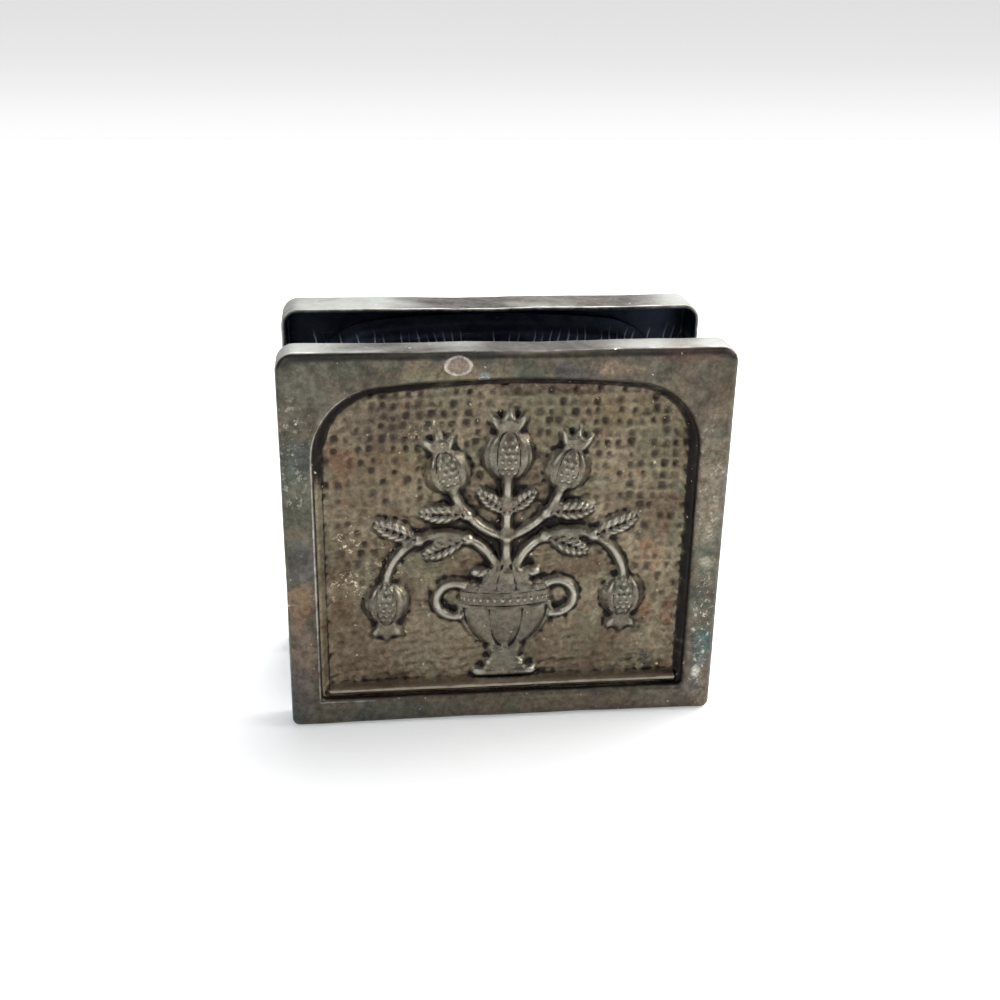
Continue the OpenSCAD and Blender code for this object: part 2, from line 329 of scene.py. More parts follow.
def wearSheet(piece, side, seed):
    # hand-raised sheet is never quite flat: the face waves, and the edges draw in between the corners
    look, s = frameLook, sides[side]
    p = getPoints(piece) / mm
    depth = (p[:, 1] - s["face"]) * s["way"]
    x, z = p[:, 0].copy(), p[:, 2].copy()
    half = plateWidth / 2
    middleX = np.clip(1 - (x / half) ** 2, 0, 1)
    middleZ = np.clip(1 - ((z - plateHeight / 2) / (plateHeight / 2)) ** 2, 0, 1)
    wave = wander(p[:, [0, 2]], 26, seed)
    ding = wander(p, 7, seed + 1)
    pull = look["pulledIn"]
    topPull = smoothStep(windowTop, plateHeight, z) * pull * middleX * (0.8 + 0.25 * wave)
    footPull = smoothStep(windowFoot, 0, z) * pull * 0.7 * middleX
    sidePull = smoothStep(half - plate["sideBorder"], half, np.abs(x)) * pull * 0.45 * middleZ
    p[:, 2] += footPull - topPull + 0.02 * ding * (middleX > 0.05)
    p[:, 0] -= np.sign(x) * sidePull * (0.8 + 0.3 * wave)
    inward = 0.06 + look["waviness"] * (wave + 1.2) * 0.5 + look["dings"] * (ding + 1.5) * 0.3
    flatness = smoothStep(1.5, 0.2, depth)
    p[:, 1] += s["way"] * inward * flatness
    # the free edge of the flange is uneven
    free = smoothStep(s["depth"] - 1.2, s["depth"], depth)
    p[:, 1] -= s["way"] * free * (0.08 + 0.05 * wander(p[:, [0, 2]], 11, seed + 2))
    setPoints(piece, p * mm)


def addThickness(piece, thickness):
    solid = piece.modifiers.new("sheet", "SOLIDIFY")
    solid.thickness = thickness * mm
    solid.offset = -1
    solid.use_even_offset = True
    applyModifiers(piece)


def roundFreeEdges(piece, width):
    bevel = piece.modifiers.new("burr", "BEVEL")
    bevel.width = width * mm
    bevel.segments = 2
    bevel.limit_method = "ANGLE"
    bevel.angle_limit = math.radians(60)
    bevel.use_clamp_overlap = True
    applyModifiers(piece)


def edgeInset(x, z):
    # how far a point lies inside the plate's outline
    across, up = plateWidth / 2 - np.abs(x), np.minimum(z, plateHeight - z)
    corner = np.where(z > plateHeight / 2, plate["upperCorner"], plate["lowerCorner"])
    inCorner = (across < corner) & (up < corner)
    return np.where(inCorner, corner - np.hypot(corner - across, corner - up), np.minimum(across, up))


def makeFrame(side, seed):
    piece = extrudeRings(side + "Frame", [spot(side, loop[:, 0], depth, loop[:, 1])
                                          for loop, depth in frameRows(side)])
    faceOutwards(piece, side)
    wearSheet(piece, side, seed)
    outerCount = len(piece.data.vertices)
    addThickness(piece, plate["sheet"])
    s = sides[side]
    p = getPoints(piece) / mm
    depth = (p[:, 1] - s["face"]) * s["way"]
    inner = np.zeros(len(p))
    inner[outerCount:] = 1
    edge = edgeInset(p[:, 0], p[:, 2])
    window = windowInset(p[:, 0], p[:, 2])
    inLip = window > -1.9
    storeMask(piece, "inner", inner)
    storeMask(piece, "flange", smoothStep(0.26, 0.06, edge) * (1 - inner))
    storeMask(piece, "lip", smoothStep(0.35, plate["lipRadius"], depth) * inLip)
    # painted highlights: a bright line along the bend, strongest along the top and at the lower corners and less
    # elsewhere, and bright lines on the flange's free edge and on the lip
    x, z = p[:, 0] * s["way"], p[:, 2]
    highlightStrength = np.maximum.reduce([
        (z > plateHeight - 2.5) * (0.7 + 0.3 * smoothStep(0, -20, x)),
        smoothStep(6, 1, z) * smoothStep(30, 36, np.abs(x)),
        smoothStep(2, 0.5, z) * smoothStep(-8, 14, x) * 0.7,
        0.35 + 0.15 * (x > 0)])
    bendHighlight = groove(edge - 0.08, 0.09) * groove(depth - 0.8, 0.4) * highlightStrength
    freeEdgeHighlight = smoothStep(s["depth"] - 0.45, s["depth"] - 0.1, depth) * 0.85
    lipHighlight = groove(window + 0.4, 0.26) * (1 - inner) * (0.3 + 0.4 * smoothStep(-18, -30, x))
    # these painted highlights are stored in the wear mask
    storeMask(piece, "wearAndPaintedLight", np.maximum.reduce([bendHighlight, freeEdgeHighlight, lipHighlight]) * (1 - inner * 0.7))
    # the rest of the bend gets a painted dark reflection, most along the top
    turned = smoothStep(0.1, 0.3, edge) * smoothStep(1.6, 1.25, edge)
    upper = smoothStep(plateHeight - 3, plateHeight - 1.8, z)
    storeMask(piece, "darkBendReflection", turned * (0.25 + 0.75 * upper) * (1 - inner))
    # a thin black line of painted dark reflection runs under the painted highlight
    line = groove(edge - 0.42, 0.14) * (0.25 + 0.75 * upper) * smoothStep(1.1, 0.8, depth)
    storeMask(piece, "line", line * (1 - inner))
    roundFreeEdges(piece, frameLook["edgeRound"])
    smoothShade(piece, 50)
    return piece


def blur(field, size):
    # spreads a field of the panel's grid by a size in grid cells
    reach = max(1, int(math.ceil(size * 3)))
    taps = np.exp(-0.5 * (np.arange(-reach, reach + 1) / size) ** 2)
    taps /= taps.sum()
    for axis in (0, 1):
        pad = [(0, 0), (0, 0)]
        pad[axis] = (reach, reach)
        wide = np.pad(field, pad, mode="edge")
        length = field.shape[axis]
        field = sum(t * np.take(wide, range(k, k + length), axis=axis) for k, t in enumerate(taps))
    return field


# The relief, as the panel's maker drew it: millimetres before it is fitted to the ground
ornament = {
    "bowl": 18.0,
    "urnHeight": 23.5,
    "footHeight": 6.4,
    "stem": 1.1,
    "fruit": 4.4,
    "topFruit": 1.12,
    "leaf": 10.0,
    "leafWidth": 0.42,
    "centre": 19.0,
    "gap": 4.0,
    "lowBends": [(10.5, -50, -1), (10.5, -50, 1), (10.5, -65, 0)],
    "highBends": [(14, 36, -1), (14, 24, 0)],
    "lowStart": (1.5, -15),
    "highStart": (0.36, -75),
    "leafTurn": 48,
    "pairAt": 0.6,
    "pairSize": 0.8,
}


def growBranch(start, heading, bends, leaves):
    # follows the bends of a branch, notes its leaves, and returns the place and heading of its end
    place, angle = np.array(start, float), heading
    for radius, bend, leafSide in bends:
        side = 1 if bend > 0 else -1
        left = np.array([-math.cos(math.radians(angle)), -math.sin(math.radians(angle))])
        centre = place + side * radius * left
        angle += bend
        left = np.array([-math.cos(math.radians(angle)), -math.sin(math.radians(angle))])
        place = centre - side * radius * left
        if leafSide:
            leaves.append((place[0], place[1], angle + ornament["leafTurn"] * leafSide, ornament["leaf"]))
    return place, angle


def ornamentLayout():
    # leaves as (x, z, heading, length) and fruits as (x, z, heading, radius), on the plate
    o = ornament
    leaves, fruits = [], []
    base = o["urnHeight"] - 1
    leaves.append((0, base + o["pairAt"] * o["centre"], -o["leafTurn"], o["pairSize"] * o["leaf"]))
    offset, heading = o["lowStart"]
    low, lowTurn = growBranch((offset, base), heading, o["lowBends"], leaves)
    share, heading = o["highStart"]
    high, highTurn = growBranch((0, base + share * o["centre"]), heading, o["highBends"], leaves)
    for (x, z), heading in ((low, lowTurn), (high, highTurn)):
        fruits.append((x, z, heading, o["fruit"]))
    leaves += [(-x, z, -heading, length) for x, z, heading, length in leaves]
    fruits += [(-x, z, -heading, radius) for x, z, heading, radius in fruits]
    fruits.append((0, base + o["centre"], 0, o["fruit"] * o["topFruit"]))
    height = base + o["centre"] + 2.6 * o["fruit"] * o["topFruit"]
    fit = (windowTop - plate["groundInset"] - plate["sillTop"] - o["gap"]) / height
    foot = plate["sillTop"]
    leaves = [(x * fit, foot + z * fit, heading, length * fit) for x, z, heading, length in leaves]
    fruits = [(x * fit, foot + z * fit, heading, radius * fit) for x, z, heading, radius in fruits]
    return leaves, fruits, fit


def ownAxes(x, z, x0, z0, heading):
    # across and along a shape that grows from (x0, z0)
    a = math.radians(heading)
    across = (x - x0) * math.cos(a) + (z - z0) * math.sin(a)
    along = -(x - x0) * math.sin(a) + (z - z0) * math.cos(a)
    return across, along


def carveLeaves(height, x, z, leaves):
    for x0, z0, heading, length in leaves:
        across, along = ownAxes(x, z, x0, z0, heading)
        t = np.clip(along / length, 0, 1)
        halfWidth = 0.5 * ornament["leafWidth"] * length * np.sin(math.pi * t) ** 0.8
        inside = smoothStep(0, 0.35, halfWidth - np.abs(across)) * (along > 0.4) * (along < length)
        step = length / 7.5
        vein = ((along - 0.75 * np.abs(across)) / step) % 1 - 0.5
        height = height - 0.3 * inside * groove(vein * step, 0.2)
        height = height - 0.25 * inside * groove(across, 0.24)
    return height


def carveFruits(height, x, z, fruits):
    for x0, z0, heading, radius in fruits:
        across, along = ownAxes(x, z, x0, z0, heading)
        along = along - (radius - ornament["stem"])
        reach = np.hypot(across, along)
        inside = smoothStep(radius, radius - 0.5, reach)
        waist = np.sqrt(np.maximum(radius ** 2 - along ** 2, 0.01))
        share = across / waist
        split = smoothStep(0.40, 0.30, np.abs(share)) * smoothStep(0.85, 0.6, np.abs(along) / radius)
        seam = groove((np.abs(share) - 0.42) * waist, 0.22)
        seedsX, seedsZ = across / 1.1, along / 1.1
        shift = 0.5 * (np.floor(seedsZ) % 2)
        seed = np.hypot((seedsX + shift) % 1 - 0.5, seedsZ % 1 - 0.5)
        height = height - 0.34 * inside * seam
        height = height + inside * split * (0.34 * smoothStep(0.5, 0.1, seed) - 0.2)
        rib = groove((np.abs(share) - 0.78) * waist, 0.2)
        height = height - 0.22 * inside * rib
    return height


def carveUrn(height, x, z, fit):
    o = ornament
    radius = o["bowl"] / 2 * fit
    middle = plate["sillTop"] + (o["footHeight"] + o["bowl"] / 2) * fit
    up = z - middle
    inside = smoothStep(radius, radius - 0.5, np.hypot(x, up))
    waist = np.sqrt(np.maximum(radius ** 2 - up ** 2, 0.01))
    around = np.arcsin(np.clip(x / waist, -1, 1))
    lobes = 9
    lobe = np.abs(np.sin(around * lobes / 2 + math.pi / 2))
    lower = inside * smoothStep(0.3, -0.3, up)
    height = height - 0.5 * lower * (1 - lobe) ** 1.3
    band = inside * smoothStep(0.95, 0.65, np.abs(up - 1.6))
    bead = np.hypot((around * radius / 1.35) % 1 - 0.5, (up - 1.6) / 1.35)
    height = height + band * (0.36 * smoothStep(0.48, 0.1, bead) - 0.2)
    for line in (0.45, 2.75):
        height = height - 0.34 * inside * groove(up - line, 0.2)
    upper = inside * smoothStep(3.1, 3.6, up)
    flute = np.abs(np.sin(around * 7 + math.pi / 2))
    return height - 0.3 * upper * (1 - flute) ** 1.5


# The punched ground: square dents in rows, crisp near the top and worn away lower down
punching = {
    "across": 1.95,
    "up": 1.9,
    "half": 0.66,
    "square": 2.7,
    "deep": 0.55,
    "jitter": 0.16,
    "crispAbove": 46.0,
    "wornBelow": 16.0,
    "wornDepth": 0.3,
    "bow": 0.5,
    "seed": 11,
}


def punchedGround(x, z, look):
    # depth of the dents at each point
    rng = np.random.RandomState(look["seed"])
    columns, rows = 64, 64
    jitterX = rng.normal(0, look["jitter"], (rows, columns))
    jitterZ = rng.normal(0, look["jitter"], (rows, columns))
    strength = rng.uniform(0.25, 1.15, (rows, columns))
    size = rng.uniform(0.7, 1.2, (rows, columns))
    rowSlide = rng.uniform(-0.25, 0.25, rows)
    bowed = z + look["bow"] * wander(np.stack([x, z], -1), 40, 21)
    row = np.clip((bowed / look["up"]).astype(int), 0, rows - 1)
    u = x / look["across"] + columns / 2 + rowSlide[row]
    column = np.clip(u.astype(int), 0, columns - 1)
    du = ((u % 1) - 0.5) * look["across"] - jitterX[row, column]
    dz = ((bowed / look["up"]) % 1 - 0.5) * look["up"] - jitterZ[row, column]
    edge = look["half"] * size[row, column]
    # lower down the dents run together into rows
    crisp = smoothStep(look["wornBelow"], look["crispAbove"], z + 7 * wander(np.stack([x, z], -1), 15, 5))
    fade = look["wornDepth"] + (1 - look["wornDepth"]) * crisp
    wide = edge * (1.5 - 0.5 * crisp)
    square = (np.abs(du) / wide) ** look["square"] + (np.abs(dz) / edge) ** look["square"]
    return strength[row, column] * fade * np.exp(-square), fade


def makeGrid(name, columns, rows):
    deselectAll()
    bpy.ops.mesh.primitive_grid_add(x_subdivisions=columns, y_subdivisions=rows, size=2)
    piece = bpy.context.object
    piece.name = piece.data.name = name
    points = getPoints(piece).reshape(rows + 1, columns + 1, 3)
    return piece, points[..., 0], (points[..., 1] + 1) / 2


def panelPlaces(u, v):
    # carries the unit grid to the panel's outline, a little inside the solid's own
    grow = plate["landing"] - 0.06
    x = u * (halfWindow + grow)
    foot = windowFoot - grow
    return x, foot + v * (windowTopAt(x, -grow) - foot)


def wrapOnto(piece, node, side):
    # presses the grid on to the panel's solid from the outside
    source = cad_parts[node]
    form = source.copy()
    form.data = source.data.copy()
    bpy.context.collection.objects.link(form)
    pick(form)
    bpy.ops.object.mode_set(mode="EDIT")
    bpy.ops.mesh.select_all(action="SELECT")
    bpy.ops.mesh.remove_doubles(threshold=0.002 * mm)
    bpy.ops.object.mode_set(mode="OBJECT")
    wrap = piece.modifiers.new("press", "SHRINKWRAP")
    wrap.target = form
    wrap.wrap_method = "PROJECT"
    wrap.use_project_y = True
    wrap.use_positive_direction = sides[side]["way"] > 0
    wrap.use_negative_direction = sides[side]["way"] < 0
    applyModifiers(piece)
    bpy.data.objects.remove(form)


panelLook = {
    "front": {"columns": 284, "rows": 260, "seed": 31},
    "back": {"columns": 236, "rows": 216, "seed": 77},
    "standOff": 6.0,
    "soften": 0.26,
    "shoulder": 0.75,
    "moat": 0.34,
    "lumps": 0.07,
}


def raisedHeights(x, z, raw, cell, side, look):
    # turns the pressed heights over the ground into softly raised, chased and punched sheet
    soft = blur(raw, look["soften"] / cell)
    inside = windowInset(x, z)
    ground = smoothStep(plate["groundInset"] - 0.1, plate["groundInset"] + 0.35, inside)
    ground = ground * smoothStep(plate["sillTop"], plate["sillTop"] + 0.25, z)
    relief = blur((raw > 0.25) * (ground > 0.5) * 1.0, 0.3 / cell)
    body = blur(relief, look["shoulder"] / cell)
    height = np.where(ground > 0.5, soft * (0.55 + 0.45 * smoothStep(0.35, 0.95, body)), soft)
    plane = np.stack([x, z], axis=-1)
    around = blur(relief, 0.6 / cell) * (1 - relief)
    height = height - look["moat"] * around * 2 * ground
    dents, fade = punchedGround(x, z, punching)
    clear = ground * smoothStep(0.3, 0.02, blur(relief, 0.5 / cell))
    clear = clear * smoothStep(plate["sillTop"] + 0.3, plate["sillTop"] + 2, z)
    height = height - punching["deep"] * dents * clear
    lumps = wander(plane, 3.4, look["seed"]) + wander(plane, 1.5, look["seed"] + 1, 18)
    height = height + look["lumps"] * lumps * ground * (1 - relief) * (1.25 - 0.7 * fade)
    height = height + 0.05 * wander(plane, 14, look["seed"] + 2)
    return height, relief, ground, dents * clear


def wallShadowAndPatina(x, z):
    # painted shadow of the frame's edge, with dark patina, lies wide along the upper left wall, even along the
    # right one, and as a thin line at the left one's foot
    inset = windowInset(x, z)
    high = smoothStep(36, 52, z)
    wide = smoothStep(2.3, 1.3, inset) * high * smoothStep(6, -18, x)
    even = smoothStep(1.5, 0.9, inset) * np.maximum(0.9 * smoothStep(24, 30, x), 0.75 * high)
    line = groove(inset - 1.2, 0.24) * 0.8
    return np.maximum.reduce([wide, even, line, 0.3 * smoothStep(1.5, 0.9, inset)])


def makePanel(side, node):
    look = dict(panelLook, **panelLook[side])
    columns, rows = look["columns"], look["rows"]
    piece, u, v = makeGrid(side + "Panel", columns, rows)
    x, z = panelPlaces(u, v)
    setPoints(piece, spot(side, x, -look["standOff"], z).reshape(-1, 3))
    wrapOnto(piece, node, side)
    s = sides[side]
    pressed = getPoints(piece).reshape(rows + 1, columns + 1, 3) / mm
    depth = (pressed[..., 1] - s["face"]) * s["way"]
    depth = np.where(depth < 0, plate["lipDepth"], depth)
    raw = plate["recess"] - depth
    cell = 2 * (halfWindow + plate["landing"]) / columns
    height, relief, ground, dents = raisedHeights(x, z, raw, cell, side, look)
    if side == "front":
        leaves, fruits, fit = ornamentLayout()
        height = carveLeaves(height, x, z, leaves)
        height = carveFruits(height, x, z, fruits)
        height = carveUrn(height, x, z, fit)
    height = blur(height, 0.11 / cell)
    # the flange lies flat behind the lip
    flange = smoothStep(0.25, -0.1, windowInset(x, z))
    height = height * (1 - flange) + (plate["recess"] - plate["lipDepth"]) * flange
    depth = plate["recess"] - height
    setPoints(piece, spot(side, x, depth, z).reshape(-1, 3))
    broad = blur(height, 1.0 / cell)
    fine = blur(height, 0.45 / cell)
    hollow = np.maximum((broad - height) / 0.6, (fine - height) / (0.24 - 0.1 * relief))
    hollow = hollow * (1 - 0.8 * dents)
    foot = groove(z - plate["sillTop"] - 0.5, 1.0) * (1 - relief) * (windowInset(x, z) > 0)
    hollow = hollow * (1 - 0.55 * foot)
    # dark patina in the hollows, with painted shadow along the window's walls
    storeMask(piece, "hollow", np.maximum(hollow, wallShadowAndPatina(x, z)))
    storeMask(piece, "dent", dents)
    # the crests get wear and a painted highlight, and the sill's nose a painted highlight
    crestWearAndHighlight = ((height - fine) / 0.16 - 0.45) * (0.3 + 0.7 * relief)
    sill = (z > windowFoot + 0.4) * (z < plate["sillTop"]) * (1 - relief) * (windowInset(x, z) > 0.3)
    noseHighlight = groove(z - plate["sillTop"] + 0.75, 0.2) * sill * 1.1
    storeMask(piece, "wearAndPaintedLight", np.maximum(crestWearAndHighlight * (1 - sill), noseHighlight))
    storeMask(piece, "sill", sill * 1.0)
    storeMask(piece, "relief", relief)
    storeMask(piece, "inner", smoothStep(-0.2, -0.5, windowInset(x, z)))
    back = makeReverse(side, x[::2, ::2], z[::2, ::2], blur(depth, 0.3 / cell)[::2, ::2], u[::2, ::2])
    joinSkins(piece, back)
    smoothShade(piece, 60)
    return piece


def makeReverse(side, x, z, depth, u):
    # the other side of the same sheet
    piece, _, _ = makeGrid(side + "Reverse", depth.shape[1] - 1, depth.shape[0] - 1)
    setPoints(piece, spot(side, x, depth + plate["panelSheet"], z).reshape(-1, 3))
    pick(piece)
    bpy.ops.object.mode_set(mode="EDIT")
    bpy.ops.mesh.select_all(action="SELECT")
    bpy.ops.mesh.flip_normals()
    bpy.ops.object.mode_set(mode="OBJECT")
    for name in ("hollow", "wearAndPaintedLight", "relief", "dent", "sill"):
        storeMask(piece, name, np.zeros(depth.size))
    storeMask(piece, "inner", np.ones(depth.size))
    return piece


def joinSkins(piece, back):
    # both sides of the sheet meet round its cut edge
    pick(back)
    piece.select_set(True)
    bpy.context.view_layer.objects.active = piece
    bpy.ops.object.join()
    bpy.ops.object.mode_set(mode="EDIT")
    bpy.ops.mesh.select_mode(type="EDGE")
    bpy.ops.mesh.select_all(action="DESELECT")
    bpy.ops.mesh.select_non_manifold()
    bpy.ops.mesh.bridge_edge_loops()
    bpy.ops.mesh.select_all(action="DESELECT")
    bpy.ops.object.mode_set(mode="OBJECT")


def openEdges(piece):
    mesh = bmesh.new()
    mesh.from_mesh(piece.data)
    count = sum(1 for edge in mesh.edges if not edge.is_manifold)
    volume = mesh.calc_volume(signed=True)
    mesh.free()
    return count, volume / mm ** 3


def report(piece):
    count, volume = openEdges(piece)
    faces = sum(len(p.vertices) - 2 for p in piece.data.polygons)
    print(f"{piece.name}: {faces} triangles, {count} open edges, {volume:.0f} cubic mm")


frontFrame = makeFrame("front", 3)
backFrame = makeFrame("back", 8)
report(frontFrame)
report(backFrame)
print("frames raised")
frontPanel = makePanel("front", "front_panel")
report(frontPanel)
backPanel = makePanel("back", "back_panel")
report(backPanel)
print("panels raised")


# The strip that ties the plates together, and the solder along it
stripLook = {
    "cutsAcross": 26,
    "cutsAlong": 60,
    "edge": 0.18,
    "wave": 0.10,
    "solderSide": 1.1,
    "solderLumps": 0.28,
}


def makeStrip(look):
    low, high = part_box("base_strip")
    deselectAll()
    bpy.ops.mesh.primitive_cube_add(size=1)
    piece = bpy.context.object
    piece.name = piece.data.name = "baseStrip"
    p = getPoints(piece) + 0.5
    setPoints(piece, np.array(low) + p * np.array(high - low))
    bpy.ops.object.mode_set(mode="EDIT")
    bpy.ops.mesh.select_all(action="SELECT")
    mesh = bmesh.from_edit_mesh(piece.data)
    for axis, count in ((0, look["cutsAlong"]), (1, look["cutsAcross"])):
        for k in range(1, count):
            bpy.ops.mesh.select_all(action="SELECT")
            place = Vector((0, 0, 0))
            place[axis] = low[axis] + (high[axis] - low[axis]) * k / count
            normal = Vector((0, 0, 0))
            normal[axis] = 1
            bpy.ops.mesh.bisect(plane_co=place, plane_no=normal)
    bpy.ops.object.mode_set(mode="OBJECT")
    bevel = piece.modifiers.new("filed", "BEVEL")
    bevel.width = look["edge"] * mm
    bevel.segments = 2
    bevel.limit_method = "ANGLE"
    applyModifiers(piece)
    p = getPoints(piece) / mm
    centre = (p[:, 2].min() + p[:, 2].max()) / 2
    # the upper side waves a little; the under side stays on the plates' edges
    upper = p[:, 2] > centre
    p[:, 2] -= upper * look["wave"] * (0.5 + 0.4 * wander(p[:, :2], 15, 41))
    endAt = smoothStep(34.5, 35.4, np.abs(p[:, 0]))
    p[:, 0] -= np.sign(p[:, 0]) * endAt * (0.12 + 0.1 * wander(p[:, 1:2], 9, 43))
    setPoints(piece, p * mm)
    storeMask(piece, "inner", np.ones(len(p)))
    smoothShade(piece, 40)
    return piece


def makeSolder(name, side, look):
    # a lumpy fillet in the corner between the strip's top and the plate's panel side
    low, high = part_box("base_strip")
    way = sides[side]["way"]
    edge = low.y if way > 0 else high.y
    length = high.x - low.x - 3 * mm
    deselectAll()
    bpy.ops.mesh.primitive_cylinder_add(vertices=10, radius=look["solderSide"] * 0.5 * mm, depth=length,
                                        rotation=(0, math.pi / 2, 0))
    piece = bpy.context.object
    piece.name = piece.data.name = name
    bpy.ops.object.transform_apply(location=False, rotation=True, scale=False)
    bpy.ops.object.mode_set(mode="EDIT")
    for k in range(1, 70):
        bpy.ops.mesh.select_all(action="SELECT")
        bpy.ops.mesh.bisect(plane_co=(-length / 2 + length * k / 70, 0, 0), plane_no=(1, 0, 0))
    bpy.ops.object.mode_set(mode="OBJECT")
    p = getPoints(piece) / mm
    swell = 1 + look["solderLumps"] * wander(p[:, :1], 6, 51 + way) + 0.1 * wander(p, 1.7, 57)
    ends = smoothStep(length / mm / 2, length / mm / 2 - 2, np.abs(p[:, 0]))
    p[:, 1:] *= (swell * ends)[:, None] * 0.8 + 0.05
    p[:, 1] *= 1.3
    p[:, 2] *= 0.8
    p += np.array([0, edge / mm - way * 0.05, high.z / mm - 0.1])
    setPoints(piece, p * mm)
    smoothShade(piece, 180)
    return piece


baseStrip = makeStrip(stripLook)
report(baseStrip)
solderFront = makeSolder("solderFront", "front", stripLook)
solderBack = makeSolder("solderBack", "back", stripLook)
report(solderFront)
print("strip and solder laid")


# Materials. Colours are written as they look on screen, from 0 to 255.
def colour(red, green, blue):
    def linear(c):
        c = c / 255
        return c / 12.92 if c <= 0.04045 else ((c + 0.055) / 1.055) ** 2.4
    return (linear(red), linear(green), linear(blue), 1)


def addNode(tree, kind, **values):
    node = tree.nodes.new(kind)
    for name, value in values.items():
        setattr(node, name, value)
    return node


def feed(tree, socket, value):
    # joins an output to a socket, or writes a plain value there
    if hasattr(value, "links"):
        tree.links.new(value, socket)
    elif value is not None:
        socket.default_value = value


def noiseOf(tree, vector, scale, detail=4, rough=0.55, warp=0):
    node = addNode(tree, "ShaderNodeTexNoise")
    feed(tree, node.inputs["Vector"], vector)
    feed(tree, node.inputs["Scale"], scale)
    node.inputs["Detail"].default_value = detail
    node.inputs["Roughness"].default_value = rough
    node.inputs["Distortion"].default_value = warp
    return node.outputs["Fac"]


def band(tree, value, low, high, outLow=0.0, outHigh=1.0):
    node = addNode(tree, "ShaderNodeMapRange", interpolation_type="SMOOTHSTEP")
    feed(tree, node.inputs["Value"], value)
    feed(tree, node.inputs["From Min"], low)
    feed(tree, node.inputs["From Max"], high)
    feed(tree, node.inputs["To Min"], outLow)
    feed(tree, node.inputs["To Max"], outHigh)
    return node.outputs["Result"]


def sumOf(tree, kind, first, second=None):
    node = addNode(tree, "ShaderNodeMath", operation=kind)
    feed(tree, node.inputs[0], first)
    if second is not None:
        feed(tree, node.inputs[1], second)
    return node.outputs[0]


def blend(tree, share, first, second, kind="MIX"):
    node = addNode(tree, "ShaderNodeMix", data_type="RGBA", blend_type=kind)
    feed(tree, node.inputs["Factor"], share)
    feed(tree, node.inputs[6], first)
    feed(tree, node.inputs[7], second)
    return node.outputs[2]


def attributeOf(tree, name):
    node = addNode(tree, "ShaderNodeAttribute", attribute_name=name)
    return node.outputs["Fac"]


def startMaterial(name):
    material = bpy.data.materials.new(name)
    material.use_nodes = True
    tree = material.node_tree
    tree.nodes.clear()
    out = addNode(tree, "ShaderNodeOutputMaterial")
    shader = addNode(tree, "ShaderNodeBsdfPrincipled")
    tree.links.new(shader.outputs[0], out.inputs[0])
    where = addNode(tree, "ShaderNodeTexCoord").outputs["Object"]
    return material, tree, shader, where


def startGroup(name, inputs, outputs):
    tree = bpy.data.node_groups.new(name, "ShaderNodeTree")
    for label, kind in inputs:
        tree.interface.new_socket(name=label, in_out="INPUT", socket_type=kind)
    for label, kind in outputs:
        tree.interface.new_socket(name=label, in_out="OUTPUT", socket_type=kind)
    return tree, addNode(tree, "NodeGroupInput"), addNode(tree, "NodeGroupOutput")


def placeGroup(tree, group, **values):
    node = addNode(tree, "ShaderNodeGroup", node_tree=group)
    for label, value in values.items():
        feed(tree, node.inputs[label], value)
    return node


def makeTarnishGroup():
    # old tarnish in four scales: drifting clouds, smaller patches, grain, and bright flecks that are painted
    # glints
    tree, given, made = startGroup(
        "tarnishScales",
        [("Vector", "NodeSocketVector"), ("Size", "NodeSocketFloat")],
        [("Clouds", "NodeSocketFloat"), ("Patches", "NodeSocketFloat"), ("Grain", "NodeSocketFloat"),
         ("Flecks", "NodeSocketFloat"), ("Scratches", "NodeSocketFloat"), ("Mottle", "NodeSocketFloat")])
    where, size = given.outputs["Vector"], given.outputs["Size"]
    clouds = noiseOf(tree, where, sumOf(tree, "MULTIPLY", size, 70.0), 3, 0.6, 0.6)
    patches = noiseOf(tree, where, sumOf(tree, "MULTIPLY", size, 260.0), 5, 0.65, 0.9)
    grain = noiseOf(tree, where, sumOf(tree, "MULTIPLY", size, 1500.0), 4, 0.6)
    flecks = noiseOf(tree, where, sumOf(tree, "MULTIPLY", size, 900.0), 2, 0.5)
    mottle = noiseOf(tree, where, sumOf(tree, "MULTIPLY", size, 850.0), 6, 0.75, 0.1)
    stretch = addNode(tree, "ShaderNodeMapping")
    tree.links.new(where, stretch.inputs["Vector"])
    stretch.inputs["Rotation"].default_value = (0.2, 0.5, 0.3)
    stretch.inputs["Scale"].default_value = (1.0, 1.0, 14.0)
    scratches = noiseOf(tree, stretch.outputs[0], sumOf(tree, "MULTIPLY", size, 220.0), 2, 0.5)
    feed(tree, made.inputs["Clouds"], band(tree, clouds, 0.32, 0.68))
    feed(tree, made.inputs["Patches"], band(tree, patches, 0.36, 0.66))
    feed(tree, made.inputs["Grain"], grain)
    feed(tree, made.inputs["Flecks"], band(tree, flecks, 0.70, 0.78))
    feed(tree, made.inputs["Scratches"], band(tree, scratches, 0.66, 0.74))
    feed(tree, made.inputs["Mottle"], band(tree, mottle, 0.36, 0.64, 0.72, 1.24))
    return tree


def shadeBy(tree, base, shade):
    # darkens or lightens a colour by a value about one
    return blend(tree, 1.0, base, shade, "MULTIPLY")


def makeBreakupGroup():
    # breaks an even mask up into patches; it carries wear and painted highlights, and the painted shadow with
    # patina in the hollows
    tree, given, made = startGroup(
        "patchyBreakup",
        [("Vector", "NodeSocketVector"), ("Mask", "NodeSocketFloat"), ("Amount", "NodeSocketFloat")],
        [("Broken", "NodeSocketFloat")])
    broken = noiseOf(tree, given.outputs["Vector"], 420.0, 4, 0.6)
    level = sumOf(tree, "ADD", given.outputs["Mask"], sumOf(tree, "SUBTRACT", broken, 0.5))
    wearAndPaintedLight = band(tree, level, 0.35, 0.85)
    feed(tree, made.inputs["Broken"], sumOf(tree, "MULTIPLY", wearAndPaintedLight, given.outputs["Amount"]))
    return tree


